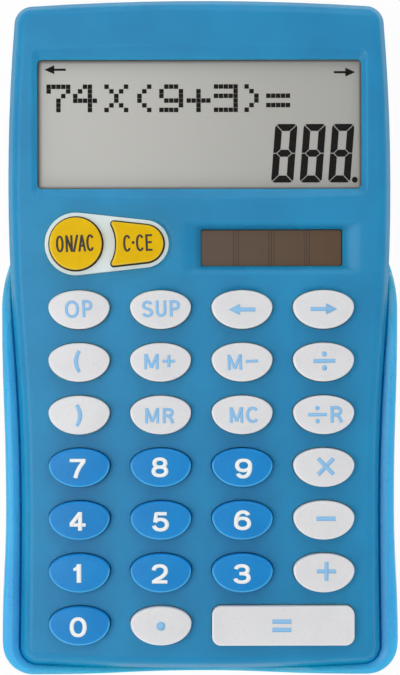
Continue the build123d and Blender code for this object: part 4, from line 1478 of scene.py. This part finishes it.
    def show_arrows(self) -> None:
        """Set the two scroll arrows at the upper corners."""
        ribbon = RibbonTree("lcd_arrow_ribbon")
        for side, glyph, spot in self.arrows:
            legend = Legend("lcd_front_glass", self.arrow_pen, (Mark(glyph, 0, 0, *self.arrow_size),), spot)
            mesh = ribbon.run(legend.lines(middle_mm("lcd_front_glass")), {
                "Spacing": self.arrow_spacing * MM, "Thickness": self.film * MM, "Centre": (0.0, 0.0, 0.0),
                "Crown Radius": 0.0, "Surface Height": self.glass_top() * MM,
                "Material": CRYSTAL_INK.material()})
            store_piece(f"lcd_arrow_{side}", mesh, CRYSTAL_INK)


@dataclass
class SolarPanel:
    """Solar cell of four strips with scribed lines between them. Sizes are in millimetres."""

    strips: int = 4
    view_width: float = 27.98
    view_height: float = 7.3
    hairline: float = 0.09
    hairline_step: float = 0.52
    film: float = 0.01
    shadow_wide: float = 0.2
    shadow_slim: float = 0.07
    shadow_tuck: float = 0.4
    shadow_corner: float = 0.4
    shadow_rise: float = 0.015

    def dress(self) -> None:
        """Give the cell and its leads their finishes."""
        SOLAR_FILM.dress("solar_cell")
        BLACK_PVC.dress("solar_lead_negative")
        RED_PVC.dress("solar_lead_positive")

    def scribe(self) -> None:
        """Draw three hairlines at each joint between strips."""
        x0, y0 = middle_mm("solar_cell")
        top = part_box("solar_cell")[1].z / MM
        pitch = self.view_width / self.strips
        first = x0 - self.view_width / 2 + pitch
        half, high = self.hairline / 2, self.view_height / 2
        work = bmesh.new()
        for i in (-1, 0, 1):
            x = first + i * self.hairline_step
            corners = [(x - half, y0 - high), (x + half, y0 - high),
                       (x + half, y0 + high), (x - half, y0 + high)]
            slab(work, corners, top - self.film, top + self.film)
        row = RowTree("scribe_row").run(closed_mesh(work, "scribe"), {
            "Count": self.strips - 1, "Step": (pitch * MM, 0.0, 0.0), "Material": SOLAR_SCRIBE.material()})
        store_piece("solar_scribe_lines", row, SOLAR_SCRIBE)

    def lay_painted_shadow(self) -> None:
        """Lay a dark painted shadow round the cell, wider at its top and right edges."""
        x0, y0 = middle_mm("solar_cell")
        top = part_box("solar_cell")[1].z / MM
        # Painted shadow of the opening's edge: widest at the top and right, where the shade falls.
        both, off = self.shadow_wide + self.shadow_slim, (self.shadow_wide - self.shadow_slim) / 2
        outside = (self.view_width + 2 * self.shadow_tuck, self.view_height + 2 * self.shadow_tuck)
        opening = (self.view_width - both, self.view_height - both)
        work = bmesh.new()
        frame_slab(work, (x0, y0), outside, opening, self.shadow_corner, top - self.film, top + self.shadow_rise,
                   (-off, -off))
        store_piece("solar_painted_shadow", closed_mesh(work, "solar_painted_shadow"), SOLAR_EDGE_SHADOW)


@dataclass
class Electronics:
    """Board, mat and battery inside the case."""

    def dress(self) -> None:
        """Give the hidden pieces their finishes."""
        BOARD.dress("main_board")
        EPOXY.dress("chip_blob")
        SLEEVE.dress("buffer_capacitor")
        SILICONE.dress("key_mat")
        CELL_STEEL.dress("button_cell")
        CONTACT_STEEL.dress("battery_contact_negative", "battery_contact_positive")


@dataclass
class Studio:
    """White sweep, soft lamps and the overhead camera. Sizes are in metres.

    Each lamp has a name, a place, the side of its square and its watts. The sky is brightest at the
    horizon and dims between two heights of the view.
    """

    camera_x: float = 0.0000624
    camera_below_top: float = 0.06674
    camera_height: float = 0.5136
    camera_roll: float = -0.00186
    focal_pixels: float = 2536.6
    image_width: int = 400
    sensor_width: float = 36.0
    nearest: float = 0.01
    floor_side: float = 6.0
    floor_drop: float = 0.0001
    floor_colour: str = "#F6F6F6"
    floor_white_share: float = 0.95
    sky_heights: Point = (0.35, 0.95)
    sky_levels: Point = (0.76, 0.5)
    lamps: tuple[tuple[str, tuple[float, float, float], float, float], ...] = (
        ("key_softbox", (-0.2, -0.02, 0.5), 0.24, 0.75),
        ("back_softbox", (0.1, 0.6, 0.5), 0.5, 1.1),
        ("front_softbox", (-0.25, -0.5, 0.36), 0.12, 0.4),
    )

    def lay_floor(self) -> None:
        """Lay a pale floor that the camera sees as white, with the shadow kept faintly."""
        half = self.floor_side / 2
        corners = [(x * half, y * half, -self.floor_drop) for x, y in ((-1, -1), (1, -1), (1, 1), (-1, 1))]
        mesh = bpy.data.meshes.new("studio_floor")
        mesh.from_pydata(corners, [], [(0, 1, 2, 3)])
        paper = bpy.data.materials.new("sweep_paper_white")
        paper.use_nodes = True
        tree = paper.node_tree
        tree.nodes.clear()
        rays = add_node(tree, "ShaderNodeLightPath").outputs
        mirror = number_node(tree, "MAXIMUM", rays["Is Glossy Ray"], rays["Is Transmission Ray"])
        seen = number_node(tree, "MAXIMUM", rays["Is Camera Ray"], mirror)
        share = number_node(tree, "MULTIPLY", seen, self.floor_white_share)
        dull = add_node(tree, "ShaderNodeBsdfDiffuse", inputs={"Color": linear(self.floor_colour)})
        glow = add_node(tree, "ShaderNodeEmission", inputs={"Color": linear("#FFFFFF"), "Strength": 1.0})
        both = add_node(tree, "ShaderNodeMixShader", inputs={
            0: share, 1: dull.outputs[0], 2: glow.outputs[0]})
        add_node(tree, "ShaderNodeOutputMaterial", inputs={"Surface": both.outputs[0]})
        mesh.materials.append(paper)
        floor = bpy.data.objects.new("studio_floor", mesh)
        bpy.context.scene.collection.objects.link(floor)

    def light(self) -> None:
        """Hang the softboxes and surround the object with a sky that is dimmer overhead."""
        for name, spot, side, watts in self.lamps:
            lamp = bpy.data.lights.new(name, "AREA")
            lamp.shape = "SQUARE"
            lamp.size = side
            lamp.energy = watts
            hung = bpy.data.objects.new(name, lamp)
            hung.location = spot
            hung.rotation_euler = (-Vector(spot)).to_track_quat("-Z", "Y").to_euler()
            bpy.context.scene.collection.objects.link(hung)
        world = bpy.data.worlds.new("studio_sky")
        world.use_nodes = True
        tree = world.node_tree
        tree.nodes.clear()
        rays = add_node(tree, "ShaderNodeLightPath").outputs
        seen = number_node(tree, "MAXIMUM", rays["Is Camera Ray"], rays["Is Transmission Ray"])
        way = add_node(tree, "ShaderNodeTexCoord").outputs["Generated"]
        sky = ramp(tree, split(tree, way)["Z"], self.sky_heights, self.sky_levels, "SMOOTHSTEP")
        level = add_node(tree, "ShaderNodeMix", {"data_type": "FLOAT"}, {0: seen, 2: sky, 3: 1.0})
        glow = add_node(tree, "ShaderNodeBackground", inputs={
            "Color": linear("#FFFFFF"), "Strength": level.outputs[0]})
        add_node(tree, "ShaderNodeOutputWorld", inputs={"Surface": glow.outputs[0]})
        bpy.context.scene.world = world

    def place_camera(self) -> None:
        """Look straight down from the photograph's height with its focal length."""
        lens = bpy.data.cameras.new("overhead_camera")
        lens.sensor_fit = "HORIZONTAL"
        lens.sensor_width = self.sensor_width
        lens.lens = self.focal_pixels * self.sensor_width / self.image_width
        lens.clip_start = self.nearest
        camera = bpy.data.objects.new("overhead_camera", lens)
        case_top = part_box("front_case")[1].y
        camera.location = (self.camera_x, case_top - self.camera_below_top, self.camera_height)
        camera.rotation_euler = (0.0, 0.0, self.camera_roll)
        bpy.context.scene.collection.objects.link(camera)
        bpy.context.scene.camera = camera
        bpy.context.scene.view_settings.view_transform = "Standard"


def main() -> None:
    """Dress the calculator piece by piece and set up the studio."""
    logging.basicConfig(level=logging.INFO, format="%(name)s: %(message)s")
    CaseShell().dress()
    SlideCover().dress()
    keypad = Keypad()
    keypad.dress()
    keypad.lay_shade_rings()
    keypad.print_legends()
    display = Display()
    display.dress()
    display.lay_painted_shadow()
    display.show_expression()
    display.show_result()
    display.show_arrows()
    solar = SolarPanel()
    solar.dress()
    solar.scribe()
    solar.lay_painted_shadow()
    Electronics().dress()
    studio = Studio()
    studio.lay_floor()
    studio.light()
    studio.place_camera()


if __name__ == "__main__":
    main()
